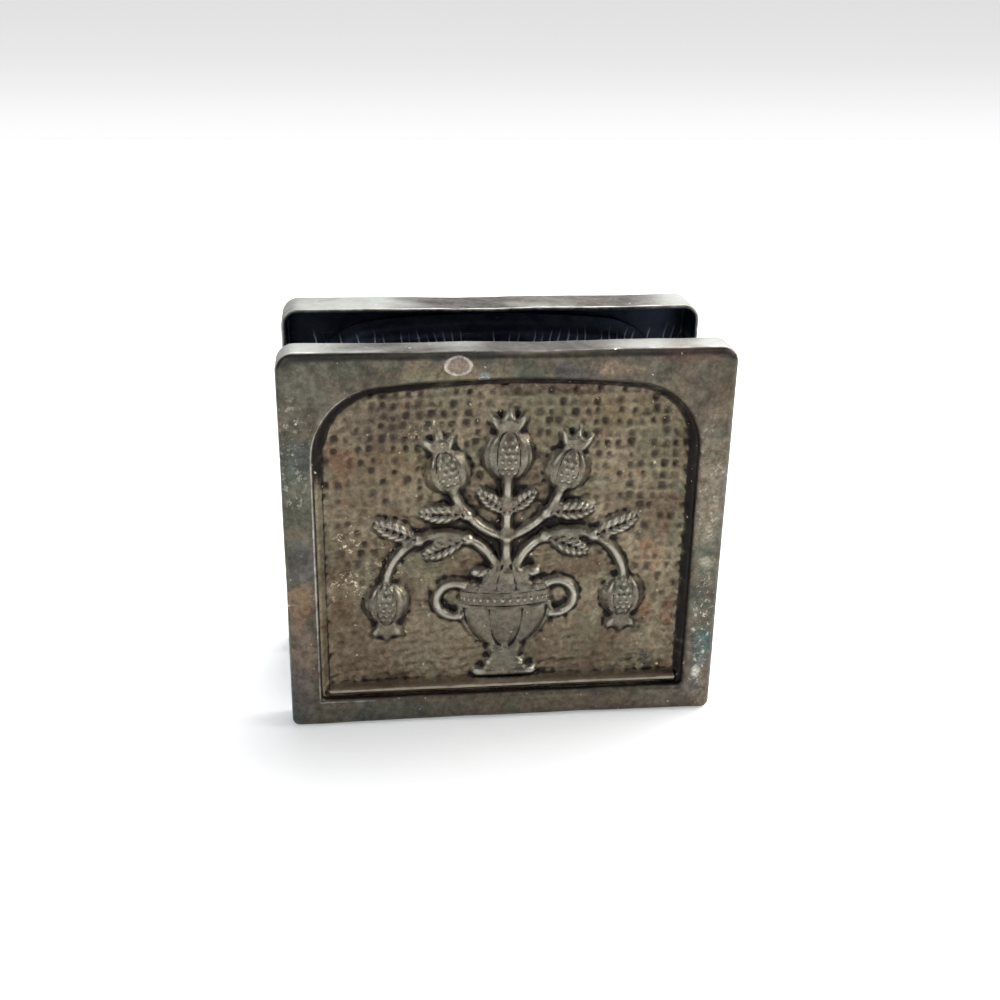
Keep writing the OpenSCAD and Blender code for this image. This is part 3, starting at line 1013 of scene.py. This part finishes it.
def fromCentre(tree, given, warp):
    # distance from a spot's centre, in its own reach, with a ragged edge
    away = addNode(tree, "ShaderNodeVectorMath", operation="SUBTRACT")
    tree.links.new(given.outputs["Vector"], away.inputs[0])
    tree.links.new(given.outputs["Centre"], away.inputs[1])
    share = addNode(tree, "ShaderNodeVectorMath", operation="DIVIDE")
    tree.links.new(away.outputs[0], share.inputs[0])
    tree.links.new(given.outputs["Reach"], share.inputs[1])
    length = addNode(tree, "ShaderNodeVectorMath", operation="LENGTH")
    tree.links.new(share.outputs[0], length.inputs[0])
    ragged = noiseOf(tree, given.outputs["Vector"], warp, 5, 0.65, 0.5)
    ragged = sumOf(tree, "MULTIPLY", sumOf(tree, "SUBTRACT", ragged, 0.5), given.outputs["Ragged"])
    return sumOf(tree, "ADD", length.outputs["Value"], ragged)


def makeSpotGroup():
    tree, given, made = startGroup(
        "ragSpot",
        [("Vector", "NodeSocketVector"), ("Centre", "NodeSocketVector"), ("Reach", "NodeSocketVector"),
         ("Ragged", "NodeSocketFloat"), ("Amount", "NodeSocketFloat")],
        [("Mask", "NodeSocketFloat")])
    away = fromCentre(tree, given, 330.0)
    mask = band(tree, away, 0.45, 1.15, 1.0, 0.0)
    feed(tree, made.inputs["Mask"], sumOf(tree, "MULTIPLY", mask, given.outputs["Amount"]))
    return tree


def makeRingGroup():
    # a dried drop: a pale rim round a faint middle
    tree, given, made = startGroup(
        "driedDrop",
        [("Vector", "NodeSocketVector"), ("Centre", "NodeSocketVector"), ("Reach", "NodeSocketVector"),
         ("Ragged", "NodeSocketFloat"), ("Amount", "NodeSocketFloat")],
        [("Mask", "NodeSocketFloat")])
    away = fromCentre(tree, given, 500.0)
    rim = sumOf(tree, "MULTIPLY", band(tree, away, 0.7, 0.95), band(tree, away, 1.0, 1.15, 1.0, 0.0))
    middle = band(tree, away, 0.8, 1.1, 0.2, 0.0)
    mask = sumOf(tree, "MAXIMUM", rim, middle)
    feed(tree, made.inputs["Mask"], sumOf(tree, "MULTIPLY", mask, given.outputs["Amount"]))
    return tree


tarnishScales = makeTarnishGroup()
patchyBreakup = makeBreakupGroup()
ragSpot = makeSpotGroup()
driedDrop = makeRingGroup()

# Marks on the front plate: place across and up, reach across and up, in millimetres
faceMarks = [
    {"at": (0.0, 3.0), "reach": (44.0, 4.0), "tint": (116, 108, 94), "amount": 0.4},
    {"at": (-35.3, 24.2), "reach": (3.2, 3.8), "tint": (142, 112, 86), "amount": 0.75},
    {"at": (-34.6, 12.0), "reach": (2.8, 9.0), "tint": (122, 102, 90), "amount": 0.8},
    {"at": (-36.4, 6.0), "reach": (3.6, 8.0), "tint": (70, 74, 80), "amount": 0.65},
    {"at": (-35.4, 43.0), "reach": (3.6, 12.0), "tint": (88, 94, 76), "amount": 0.55},
    {"at": (-34.5, 32.0), "reach": (3.0, 5.0), "tint": (84, 84, 88), "amount": 0.6},
    {"at": (35.0, 13.4), "reach": (2.4, 3.4), "tint": (66, 98, 98), "amount": 0.75},
    {"at": (34.2, 29.0), "reach": (1.4, 1.6), "tint": (178, 170, 152), "amount": 0.7},
    {"at": (33.4, 42.0), "reach": (3.6, 13.0), "tint": (150, 136, 116), "amount": 0.55},
    {"at": (29.0, 66.2), "reach": (9.0, 1.6), "tint": (92, 70, 64), "amount": 0.8},
    {"at": (-11.0, 63.9), "reach": (9.0, 2.2), "tint": (140, 122, 96), "amount": 0.6},
    {"at": (17.0, 64.2), "reach": (4.4, 1.4), "tint": (164, 138, 114), "amount": 0.6},
    {"at": (-20.0, 2.6), "reach": (14.0, 2.6), "tint": (70, 74, 76), "amount": 0.6},
    {"at": (12.0, 2.8), "reach": (12.0, 2.2), "tint": (112, 98, 82), "amount": 0.5},
    {"at": (33.9, 7.7), "reach": (0.8, 1.5), "tint": (184, 182, 172), "amount": 0.8},
]
dropMiddles = [
    {"at": (-8.4, 64.95), "reach": (1.9, 1.3), "tint": (128, 106, 94), "amount": 0.9},
    {"at": (-4.3, 63.2), "reach": (1.0, 0.9), "tint": (120, 134, 134), "amount": 0.9},
]
drops = [
    {"at": (-8.4, 64.95), "reach": (2.1, 1.5), "tint": (212, 200, 190), "amount": 0.95},
    {"at": (-4.3, 62.75), "reach": (0.85, 0.35), "tint": (190, 206, 208), "amount": 0.9},
]
groundMarks = [
    {"at": (25.6, 29.8), "reach": (3.0, 2.8), "tint": (158, 126, 98), "amount": 0.5},
    {"at": (25.0, 19.0), "reach": (1.5, 3.4), "tint": (128, 86, 60), "amount": 0.7},
    {"at": (28.6, 18.2), "reach": (1.8, 3.0), "tint": (110, 70, 52), "amount": 0.7},
    {"at": (24.5, 9.6), "reach": (4.0, 2.2), "tint": (52, 46, 46), "amount": 0.8},
    {"at": (25.5, 15.2), "reach": (2.4, 3.0), "tint": (122, 120, 98), "amount": 0.6},
    {"at": (18.5, 56.5), "reach": (6.0, 4.0), "tint": (118, 102, 76), "amount": 0.6},
    {"at": (-20.0, 55.0), "reach": (11.0, 6.0), "tint": (84, 74, 66), "amount": 0.7},
    # a painted shadow from the frame's top edge, along the top of the window
    {"at": (8.0, 61.0), "reach": (22.0, 2.2), "tint": (74, 54, 50), "amount": 0.75},
    {"at": (-14.0, 15.0), "reach": (12.0, 8.0), "tint": (140, 126, 108), "amount": 0.6},
    {"at": (24.5, 50.5), "reach": (5.0, 5.0), "tint": (112, 114, 92), "amount": 0.6},
    {"at": (-27.3, 47.5), "reach": (3.0, 4.5), "tint": (124, 84, 66), "amount": 0.65},
    {"at": (-16.0, 47.0), "reach": (7.0, 4.5), "tint": (142, 124, 98), "amount": 0.55},
    {"at": (-28.5, 22.0), "reach": (2.4, 8.0), "tint": (92, 66, 48), "amount": 0.6},
    {"at": (-26.4, 11.0), "reach": (5.0, 4.0), "tint": (96, 78, 62), "amount": 0.6},
]
goldMarks = [
    {"at": (-26.2, 33.8), "reach": (2.6, 2.4), "amount": 0.95},
    {"at": (-26.6, 25.4), "reach": (3.4, 3.0), "amount": 1.0},
    {"at": (-19.0, 30.0), "reach": (5.0, 7.0), "amount": 0.35},
    {"at": (-12.5, 52.0), "reach": (6.0, 3.0), "amount": 0.35},
]


chipMarks = [
    {"at": (34.4, 16.0), "reach": (2.2, 15.0), "amount": 0.5},
    {"at": (33.6, 44.0), "reach": (2.6, 12.0), "amount": 0.3},
    {"at": (-35.0, 50.0), "reach": (3.0, 12.0), "amount": 0.3},
]


def addCurls(tree, where, base, marks, depth, tint):
    # clusters of small bright chips and crescents
    curls = band(tree, noiseOf(tree, where, 1150.0, 5, 0.7, 0.25), 0.55, 0.63)
    for mark in marks:
        centre = (mark["at"][0] * mm, depth * mm, mark["at"][1] * mm)
        reach = (mark["reach"][0] * mm, 3 * mm, mark["reach"][1] * mm)
        spotted = placeGroup(tree, ragSpot, Vector=where, Centre=centre, Reach=reach, Ragged=2.0,
                             Amount=mark["amount"])
        base = blend(tree, sumOf(tree, "MULTIPLY", spotted.outputs[0], curls), base, tint)
    return base


def addMarks(tree, group, where, base, marks, depth, ragged):
    # lays each mark over the colour so far, broken up by a fine grain
    grain = band(tree, noiseOf(tree, where, 900.0, 6, 0.75, 0.8), 0.36, 0.62, 0.25, 1.0)
    for mark in marks:
        centre = (mark["at"][0] * mm, depth * mm, mark["at"][1] * mm)
        reach = (mark["reach"][0] * mm, 3 * mm, mark["reach"][1] * mm)
        spotted = placeGroup(tree, group, Vector=where, Centre=centre, Reach=reach, Ragged=ragged,
                             Amount=mark["amount"])
        base = blend(tree, sumOf(tree, "MULTIPLY", spotted.outputs[0], grain), base, colour(*mark["tint"]))
    return base

silver = {
    "olive": colour(98, 96, 84),
    "brown": colour(108, 95, 80),
    "green": colour(82, 92, 80),
    "slate": colour(78, 82, 86),
    "dark": colour(52, 48, 45),
    "line": colour(20, 20, 20),
    "bright": colour(196, 194, 186),
    "satin": colour(168, 169, 165),
    "fleck": colour(215, 210, 196),
    "navy": colour(28, 33, 46),
    "navyPale": colour(50, 56, 68),
}


def finish(tree, shader, base, rough, metal, height, strength, distance):
    feed(tree, shader.inputs["Base Color"], base)
    feed(tree, shader.inputs["Roughness"], rough)
    feed(tree, shader.inputs["Metallic"], metal)
    bump = addNode(tree, "ShaderNodeBump")
    bump.inputs["Strength"].default_value = strength
    bump.inputs["Distance"].default_value = distance * mm
    feed(tree, bump.inputs["Height"], height)
    tree.links.new(bump.outputs[0], shader.inputs["Normal"])


def insideColour(tree, scales, where):
    # the blue-black given to the plates' inner sides
    pale = sumOf(tree, "MULTIPLY", scales.outputs["Patches"], 0.5)
    inside = blend(tree, pale, silver["navy"], silver["navyPale"])
    return blend(tree, sumOf(tree, "MULTIPLY", scales.outputs["Scratches"], 0.1), inside, silver["satin"])


streaks = {
    "apart": 1.55,
    "thick": 0.13,
    "from": 58.0,
    "to": 61.4,
    "lean": 0.22,
    "share": 0.62,
}


def streakHighlightsOf(tree, where):
    # painted highlights: fine pale lines on the reverse of the back plate, where the rows of its punching end
    k = streaks
    parts = addNode(tree, "ShaderNodeSeparateXYZ")
    tree.links.new(where, parts.inputs[0])
    x, y, z = parts.outputs
    up = sumOf(tree, "SUBTRACT", z, k["to"] * mm)
    way = band(tree, x, -0.012, 0.012, -k["lean"], k["lean"])
    wobble = noiseOf(tree, where, 260.0, 2, 0.5)
    along = sumOf(tree, "SUBTRACT", x, sumOf(tree, "MULTIPLY", up, way))
    along = sumOf(tree, "ADD", along, sumOf(tree, "MULTIPLY", sumOf(tree, "SUBTRACT", wobble, 0.5), 1.1 * mm))
    count = sumOf(tree, "DIVIDE", along, k["apart"] * mm)
    column = sumOf(tree, "FLOOR", count)
    chance = addNode(tree, "ShaderNodeTexWhiteNoise", noise_dimensions="1D")
    tree.links.new(column, chance.inputs["W"])
    rest = sumOf(tree, "ABSOLUTE", sumOf(tree, "SUBTRACT", sumOf(tree, "FRACT", count), 0.5))
    line = band(tree, rest, k["thick"] * 0.35, k["thick"], 1.0, 0.0)
    reach = sumOf(tree, "MULTIPLY", chance.outputs["Value"], 1.6 * mm)
    top = band(tree, sumOf(tree, "ADD", z, reach), (k["to"] - 1.4) * mm, (k["to"] + 1.2) * mm, 1.0, 0.0)
    foot = band(tree, z, (k["from"] - 6) * mm, k["from"] * mm)
    drawn = band(tree, chance.outputs["Value"], 0.12, 0.5, 0.0, 1.0)
    mask = sumOf(tree, "MULTIPLY", sumOf(tree, "MULTIPLY", line, top), sumOf(tree, "MULTIPLY", foot, drawn))
    behind = band(tree, y, 0.010, 0.012)
    return sumOf(tree, "MULTIPLY", sumOf(tree, "MULTIPLY", mask, behind), k["share"])


def makeFrameMaterial():
    material, tree, shader, where = startMaterial("tarnishedSilver")
    scales = placeGroup(tree, tarnishScales, Vector=where, Size=1.0)
    clouds, patches = scales.outputs["Clouds"], scales.outputs["Patches"]
    base = blend(tree, clouds, silver["olive"], silver["brown"])
    green = band(tree, noiseOf(tree, where, 110.0, 3, 0.6, 0.4), 0.5, 0.68)
    base = blend(tree, sumOf(tree, "MULTIPLY", green, 0.65), base, silver["green"])
    slate = band(tree, noiseOf(tree, where, 85.0, 3, 0.5), 0.54, 0.7)
    base = blend(tree, sumOf(tree, "MULTIPLY", slate, 0.6), base, silver["slate"])
    base = blend(tree, sumOf(tree, "MULTIPLY", patches, 0.45), base, silver["dark"])
    flange = attributeOf(tree, "flange")
    base = addMarks(tree, ragSpot, where, base, faceMarks, sides["front"]["face"], 2.4)
    base = shadeBy(tree, base, scales.outputs["Mottle"])
    # painted dark reflection on the bend
    shaded = sumOf(tree, "MULTIPLY", attributeOf(tree, "darkBendReflection"), band(tree, clouds, 0, 1, 0.75, 0.35))
    base = blend(tree, shaded, base, silver["dark"])
    # the thin black line of painted dark reflection under the bend's painted highlight
    base = blend(tree, sumOf(tree, "MULTIPLY", attributeOf(tree, "line"), 0.9), base, silver["line"])
    # satin flanges: less tarnished metal, with painted sheen making the ones that face up paler
    upward = addNode(tree, "ShaderNodeSeparateXYZ")
    tree.links.new(addNode(tree, "ShaderNodeNewGeometry").outputs["Normal"], upward.inputs[0])
    upFacingSheen = band(tree, upward.outputs["Z"], 0.2, 0.8, 0.5, 0.95)
    rimShare = sumOf(tree, "MULTIPLY", flange, sumOf(tree, "MULTIPLY", upFacingSheen, band(tree, clouds, 0, 1, 1.0, 0.72)))
    base = blend(tree, rimShare, base, silver["satin"])
    base = addMarks(tree, ragSpot, where, base, dropMiddles, sides["front"]["face"], 0.5)
    base = addMarks(tree, driedDrop, where, base, drops, sides["front"]["face"], 0.3)
    base = addCurls(tree, where, base, chipMarks, sides["front"]["face"], silver["fleck"])
    # painted highlights on the bend, the flange's free edge and the lip
    highlightAndWear = placeGroup(tree, patchyBreakup, Vector=where, Mask=attributeOf(tree, "wearAndPaintedLight"), Amount=0.85)
    base = blend(tree, highlightAndWear.outputs[0], base, silver["bright"])
    base = blend(tree, sumOf(tree, "MULTIPLY", attributeOf(tree, "lip"), 0.75), base, silver["dark"])
    # bright flecks painted as small glints
    base = blend(tree, sumOf(tree, "MULTIPLY", scales.outputs["Flecks"], 0.7), base, silver["fleck"])
    # painted highlight streaks over the inner side's blue-black
    inside = blend(tree, streakHighlightsOf(tree, where), insideColour(tree, scales, where), silver["satin"])
    base = blend(tree, attributeOf(tree, "inner"), base, inside)
    rough = band(tree, patches, 0, 1, 0.34, 0.52)
    rough = sumOf(tree, "ADD", rough, sumOf(tree, "MULTIPLY", flange, 0.16))
    finish(tree, shader, base, rough, 0.85, scales.outputs["Grain"], 0.25, 0.12)
    return material


bronze = {
    "ground": colour(142, 130, 108),
    "umber": colour(104, 90, 74),
    "olive": colour(120, 120, 98),
    "black": colour(26, 23, 25),
    "dent": colour(50, 42, 40),
    "rust": colour(128, 88, 62),
    "wearAndPaintedLight": colour(190, 186, 172),
    "fleck": colour(232, 218, 186),
    "grey": colour(100, 104, 100),
}
def makePanelMaterial():
    material, tree, shader, where = startMaterial("oxidisedSilver")
    scales = placeGroup(tree, tarnishScales, Vector=where, Size=1.15)
    clouds, patches = scales.outputs["Clouds"], scales.outputs["Patches"]
    base = blend(tree, clouds, bronze["ground"], bronze["umber"])
    olive = band(tree, noiseOf(tree, where, 120.0, 3, 0.6, 0.5), 0.46, 0.66)
    base = blend(tree, sumOf(tree, "MULTIPLY", olive, 0.6), base, bronze["olive"])
    rust = band(tree, noiseOf(tree, where, 210.0, 5, 0.65), 0.58, 0.7)
    base = blend(tree, sumOf(tree, "MULTIPLY", rust, 0.55), base, bronze["rust"])
    relief = attributeOf(tree, "relief")
    base = blend(tree, sumOf(tree, "MULTIPLY", relief, 0.45), base, bronze["grey"])
    base = blend(tree, sumOf(tree, "MULTIPLY", patches, 0.35), base, bronze["umber"])
    floor = sides["front"]["face"] + plate["recess"]
    base = addMarks(tree, ragSpot, where, base, groundMarks, floor, 3.0)
    base = shadeBy(tree, base, scales.outputs["Mottle"])
    sill = sumOf(tree, "MULTIPLY", attributeOf(tree, "sill"), 0.55)
    base = blend(tree, sill, base, bronze["umber"])
    dent = sumOf(tree, "MULTIPLY", band(tree, attributeOf(tree, "dent"), 0.1, 0.95), 0.8)
    base = blend(tree, dent, base, bronze["dent"])
    # dark patina in the hollows, with painted shadow along the window's walls
    hollow = placeGroup(tree, patchyBreakup, Vector=where, Mask=attributeOf(tree, "hollow"), Amount=0.95)
    base = blend(tree, hollow.outputs[0], base, bronze["black"])
    # wear and painted highlights on the crests, and a painted highlight on the sill's nose
    highlightAndWear = placeGroup(tree, patchyBreakup, Vector=where, Mask=attributeOf(tree, "wearAndPaintedLight"), Amount=0.6)
    base = blend(tree, highlightAndWear.outputs[0], base, bronze["wearAndPaintedLight"])
    base = addCurls(tree, where, base, goldMarks, floor, bronze["fleck"])
    # bright flecks painted as small glints
    base = blend(tree, sumOf(tree, "MULTIPLY", scales.outputs["Flecks"], 0.7), base, bronze["fleck"])
    inside = insideColour(tree, scales, where)
    # painted highlight streaks over the inner side's blue-black
    inside = blend(tree, streakHighlightsOf(tree, where), inside, silver["satin"])
    base = blend(tree, attributeOf(tree, "inner"), base, inside)
    rough = band(tree, sumOf(tree, "SUBTRACT", patches, relief), -1, 1, 0.27, 0.55)
    finish(tree, shader, base, rough, 0.85, scales.outputs["Grain"], 0.4, 0.2)
    return material


def makeInsideMaterial():
    material, tree, shader, where = startMaterial("darkInside")
    scales = placeGroup(tree, tarnishScales, Vector=where, Size=0.9)
    base = insideColour(tree, scales, where)
    rough = band(tree, scales.outputs["Patches"], 0, 1, 0.4, 0.6)
    finish(tree, shader, base, rough, 0.8, scales.outputs["Grain"], 0.3, 0.12)
    return material


def makeSolderMaterial():
    material, tree, shader, where = startMaterial("dullSolder")
    scales = placeGroup(tree, tarnishScales, Vector=where, Size=1.4)
    base = blend(tree, scales.outputs["Patches"], colour(92, 93, 96), colour(48, 50, 55))
    rough = band(tree, scales.outputs["Clouds"], 0, 1, 0.35, 0.55)
    finish(tree, shader, base, rough, 0.9, scales.outputs["Grain"], 0.3, 0.1)
    return material


frameMaterial = makeFrameMaterial()
panelMaterial = makePanelMaterial()
insideMaterial = makeInsideMaterial()
solderMaterial = makeSolderMaterial()
print("materials made")

dressed = [
    (frontFrame, frameMaterial, "tarnished_silver", "front_frame"),
    (backFrame, frameMaterial, "tarnished_silver", "back_frame"),
    (frontPanel, panelMaterial, "oxidised_silver", "front_panel"),
    (backPanel, panelMaterial, "oxidised_silver", "back_panel"),
    (baseStrip, insideMaterial, "dark_inside", "base_strip"),
    (solderFront, solderMaterial, "dark_inside", None),
    (solderBack, solderMaterial, "dark_inside", None),
]
for piece, material, slot, node in dressed:
    piece.data.materials.clear()
    piece.data.materials.append(material)
    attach(piece, "root")
    if node:
        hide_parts(node)


# A pale table that runs up into a pale wall, and soft studio light
studio = {
    "halfWidth": 3.0,
    "near": -3.0,
    "wallAt": 0.82,
    "cove": 0.16,
    "wallHeight": 1.2,
    "floor": colour(240, 241, 242),
    "glow": 0.34,
    "mirrored": 0.6,
    "wallTones": [(0.0, 255), (0.004, 254), (0.012, 251), (0.029, 241), (0.047, 233), (0.073, 227), (0.16, 214)],
}


def makeBackdrop(s):
    deselectAll()
    bpy.ops.mesh.primitive_plane_add(size=1)
    piece = bpy.context.object
    piece.name = piece.data.name = "backdrop"
    bpy.ops.object.mode_set(mode="EDIT")
    mesh = bmesh.from_edit_mesh(piece.data)
    for vertex in mesh.verts:
        vertex.co.x *= 2 * s["halfWidth"]
        vertex.co.y = s["near"] if vertex.co.y < 0 else s["wallAt"] - s["cove"]
    for vertex in mesh.verts:
        vertex.select = vertex.co.y > 0
    mesh.select_flush(True)
    for edge in mesh.edges:
        edge.select = all(v.co.y > 0 for v in edge.verts)
    bmesh.update_edit_mesh(piece.data)
    steps = 14
    for k in range(steps):
        a0, a1 = math.pi / 2 * k / steps, math.pi / 2 * (k + 1) / steps
        move = (0, s["cove"] * (math.sin(a1) - math.sin(a0)), s["cove"] * (math.cos(a0) - math.cos(a1)))
        bpy.ops.mesh.extrude_region_move(TRANSFORM_OT_translate={"value": move})
    bpy.ops.mesh.extrude_region_move(TRANSFORM_OT_translate={"value": (0, 0, s["wallHeight"])})
    bpy.ops.object.mode_set(mode="OBJECT")
    material = bpy.data.materials.new("paleBackdrop")
    material.use_nodes = True
    tree = material.node_tree
    tree.nodes.clear()
    out = addNode(tree, "ShaderNodeOutputMaterial")
    where = addNode(tree, "ShaderNodeTexCoord").outputs["Object"]
    parts = addNode(tree, "ShaderNodeSeparateXYZ")
    tree.links.new(where, parts.inputs[0])
    matt = addNode(tree, "ShaderNodeBsdfDiffuse")
    feed(tree, matt.inputs["Color"], s["floor"])
    glow = addNode(tree, "ShaderNodeEmission")
    feed(tree, glow.inputs["Color"], s["floor"])
    light = addNode(tree, "ShaderNodeLightPath")
    mirrored = sumOf(tree, "MULTIPLY", light.outputs["Is Glossy Ray"], s["mirrored"])
    seen = sumOf(tree, "MAXIMUM", light.outputs["Is Camera Ray"], mirrored)
    feed(tree, glow.inputs["Strength"], sumOf(tree, "MULTIPLY", seen, s["glow"]))
    both = addNode(tree, "ShaderNodeAddShader")
    tree.links.new(matt.outputs[0], both.inputs[0])
    tree.links.new(glow.outputs[0], both.inputs[1])
    # the camera sees the wall as a glow, greyer the higher it is: painted shade for the light falling off up the
    # wall
    tones = addNode(tree, "ShaderNodeValToRGB")
    ramp = tones.color_ramp
    height = s["wallTones"][-1][0]
    for z, tone in s["wallTones"][1:-1]:
        ramp.elements.new(z / height).color = colour(tone, tone, tone)
    for stop, (z, tone) in ((ramp.elements[0], s["wallTones"][0]), (ramp.elements[-1], s["wallTones"][-1])):
        stop.color = colour(tone, tone, tone)
    feed(tree, tones.inputs[0], sumOf(tree, "DIVIDE", parts.outputs["Z"], height))
    wall = addNode(tree, "ShaderNodeEmission")
    tree.links.new(tones.outputs[0], wall.inputs["Color"])
    onWall = sumOf(tree, "MULTIPLY", light.outputs["Is Camera Ray"], band(tree, parts.outputs["Z"], 0, 0.003))
    choose = addNode(tree, "ShaderNodeMixShader")
    feed(tree, choose.inputs[0], onWall)
    tree.links.new(both.outputs[0], choose.inputs[1])
    tree.links.new(wall.outputs[0], choose.inputs[2])
    tree.links.new(choose.outputs[0], out.inputs[0])
    piece.data.materials.append(material)
    smoothShade(piece, 180)
    return piece


def addLamp(name, place, aim, size, power, tint=(1, 1, 1)):
    data = bpy.data.lights.new(name, "AREA")
    data.shape = "RECTANGLE"
    data.size, data.size_y = size
    data.energy = power
    data.color = tint
    lamp = bpy.data.objects.new(name, data)
    heading = Vector(aim) - Vector(place)
    lamp.rotation_euler = heading.to_track_quat("-Z", "Y").to_euler()
    lamp.location = place
    bpy.context.collection.objects.link(lamp)


def makeStudio():
    makeBackdrop(studio)
    world = bpy.data.worlds.new("paleRoom")
    bpy.context.scene.world = world
    world.use_nodes = True
    sky = world.node_tree.nodes["Background"]
    sky.inputs["Color"].default_value = colour(214, 220, 228)
    sky.inputs["Strength"].default_value = 0.45
    target = (0, 0, 0.03)
    addLamp("topSoftbox", (0.2, 0.24, 0.58), target, (0.5, 0.45), 5.6)
    addLamp("keySoftbox", (0.56, -0.06, 0.38), target, (0.4, 0.35), 3.4, (1.0, 0.98, 0.95))
    addLamp("fillSoftbox", (-0.5, -0.55, 0.4), target, (0.5, 0.5), 1.6, (0.95, 0.97, 1.0))


makeStudio()
scene = bpy.context.scene
scene.view_settings.view_transform = "Standard"
print("studio lit")
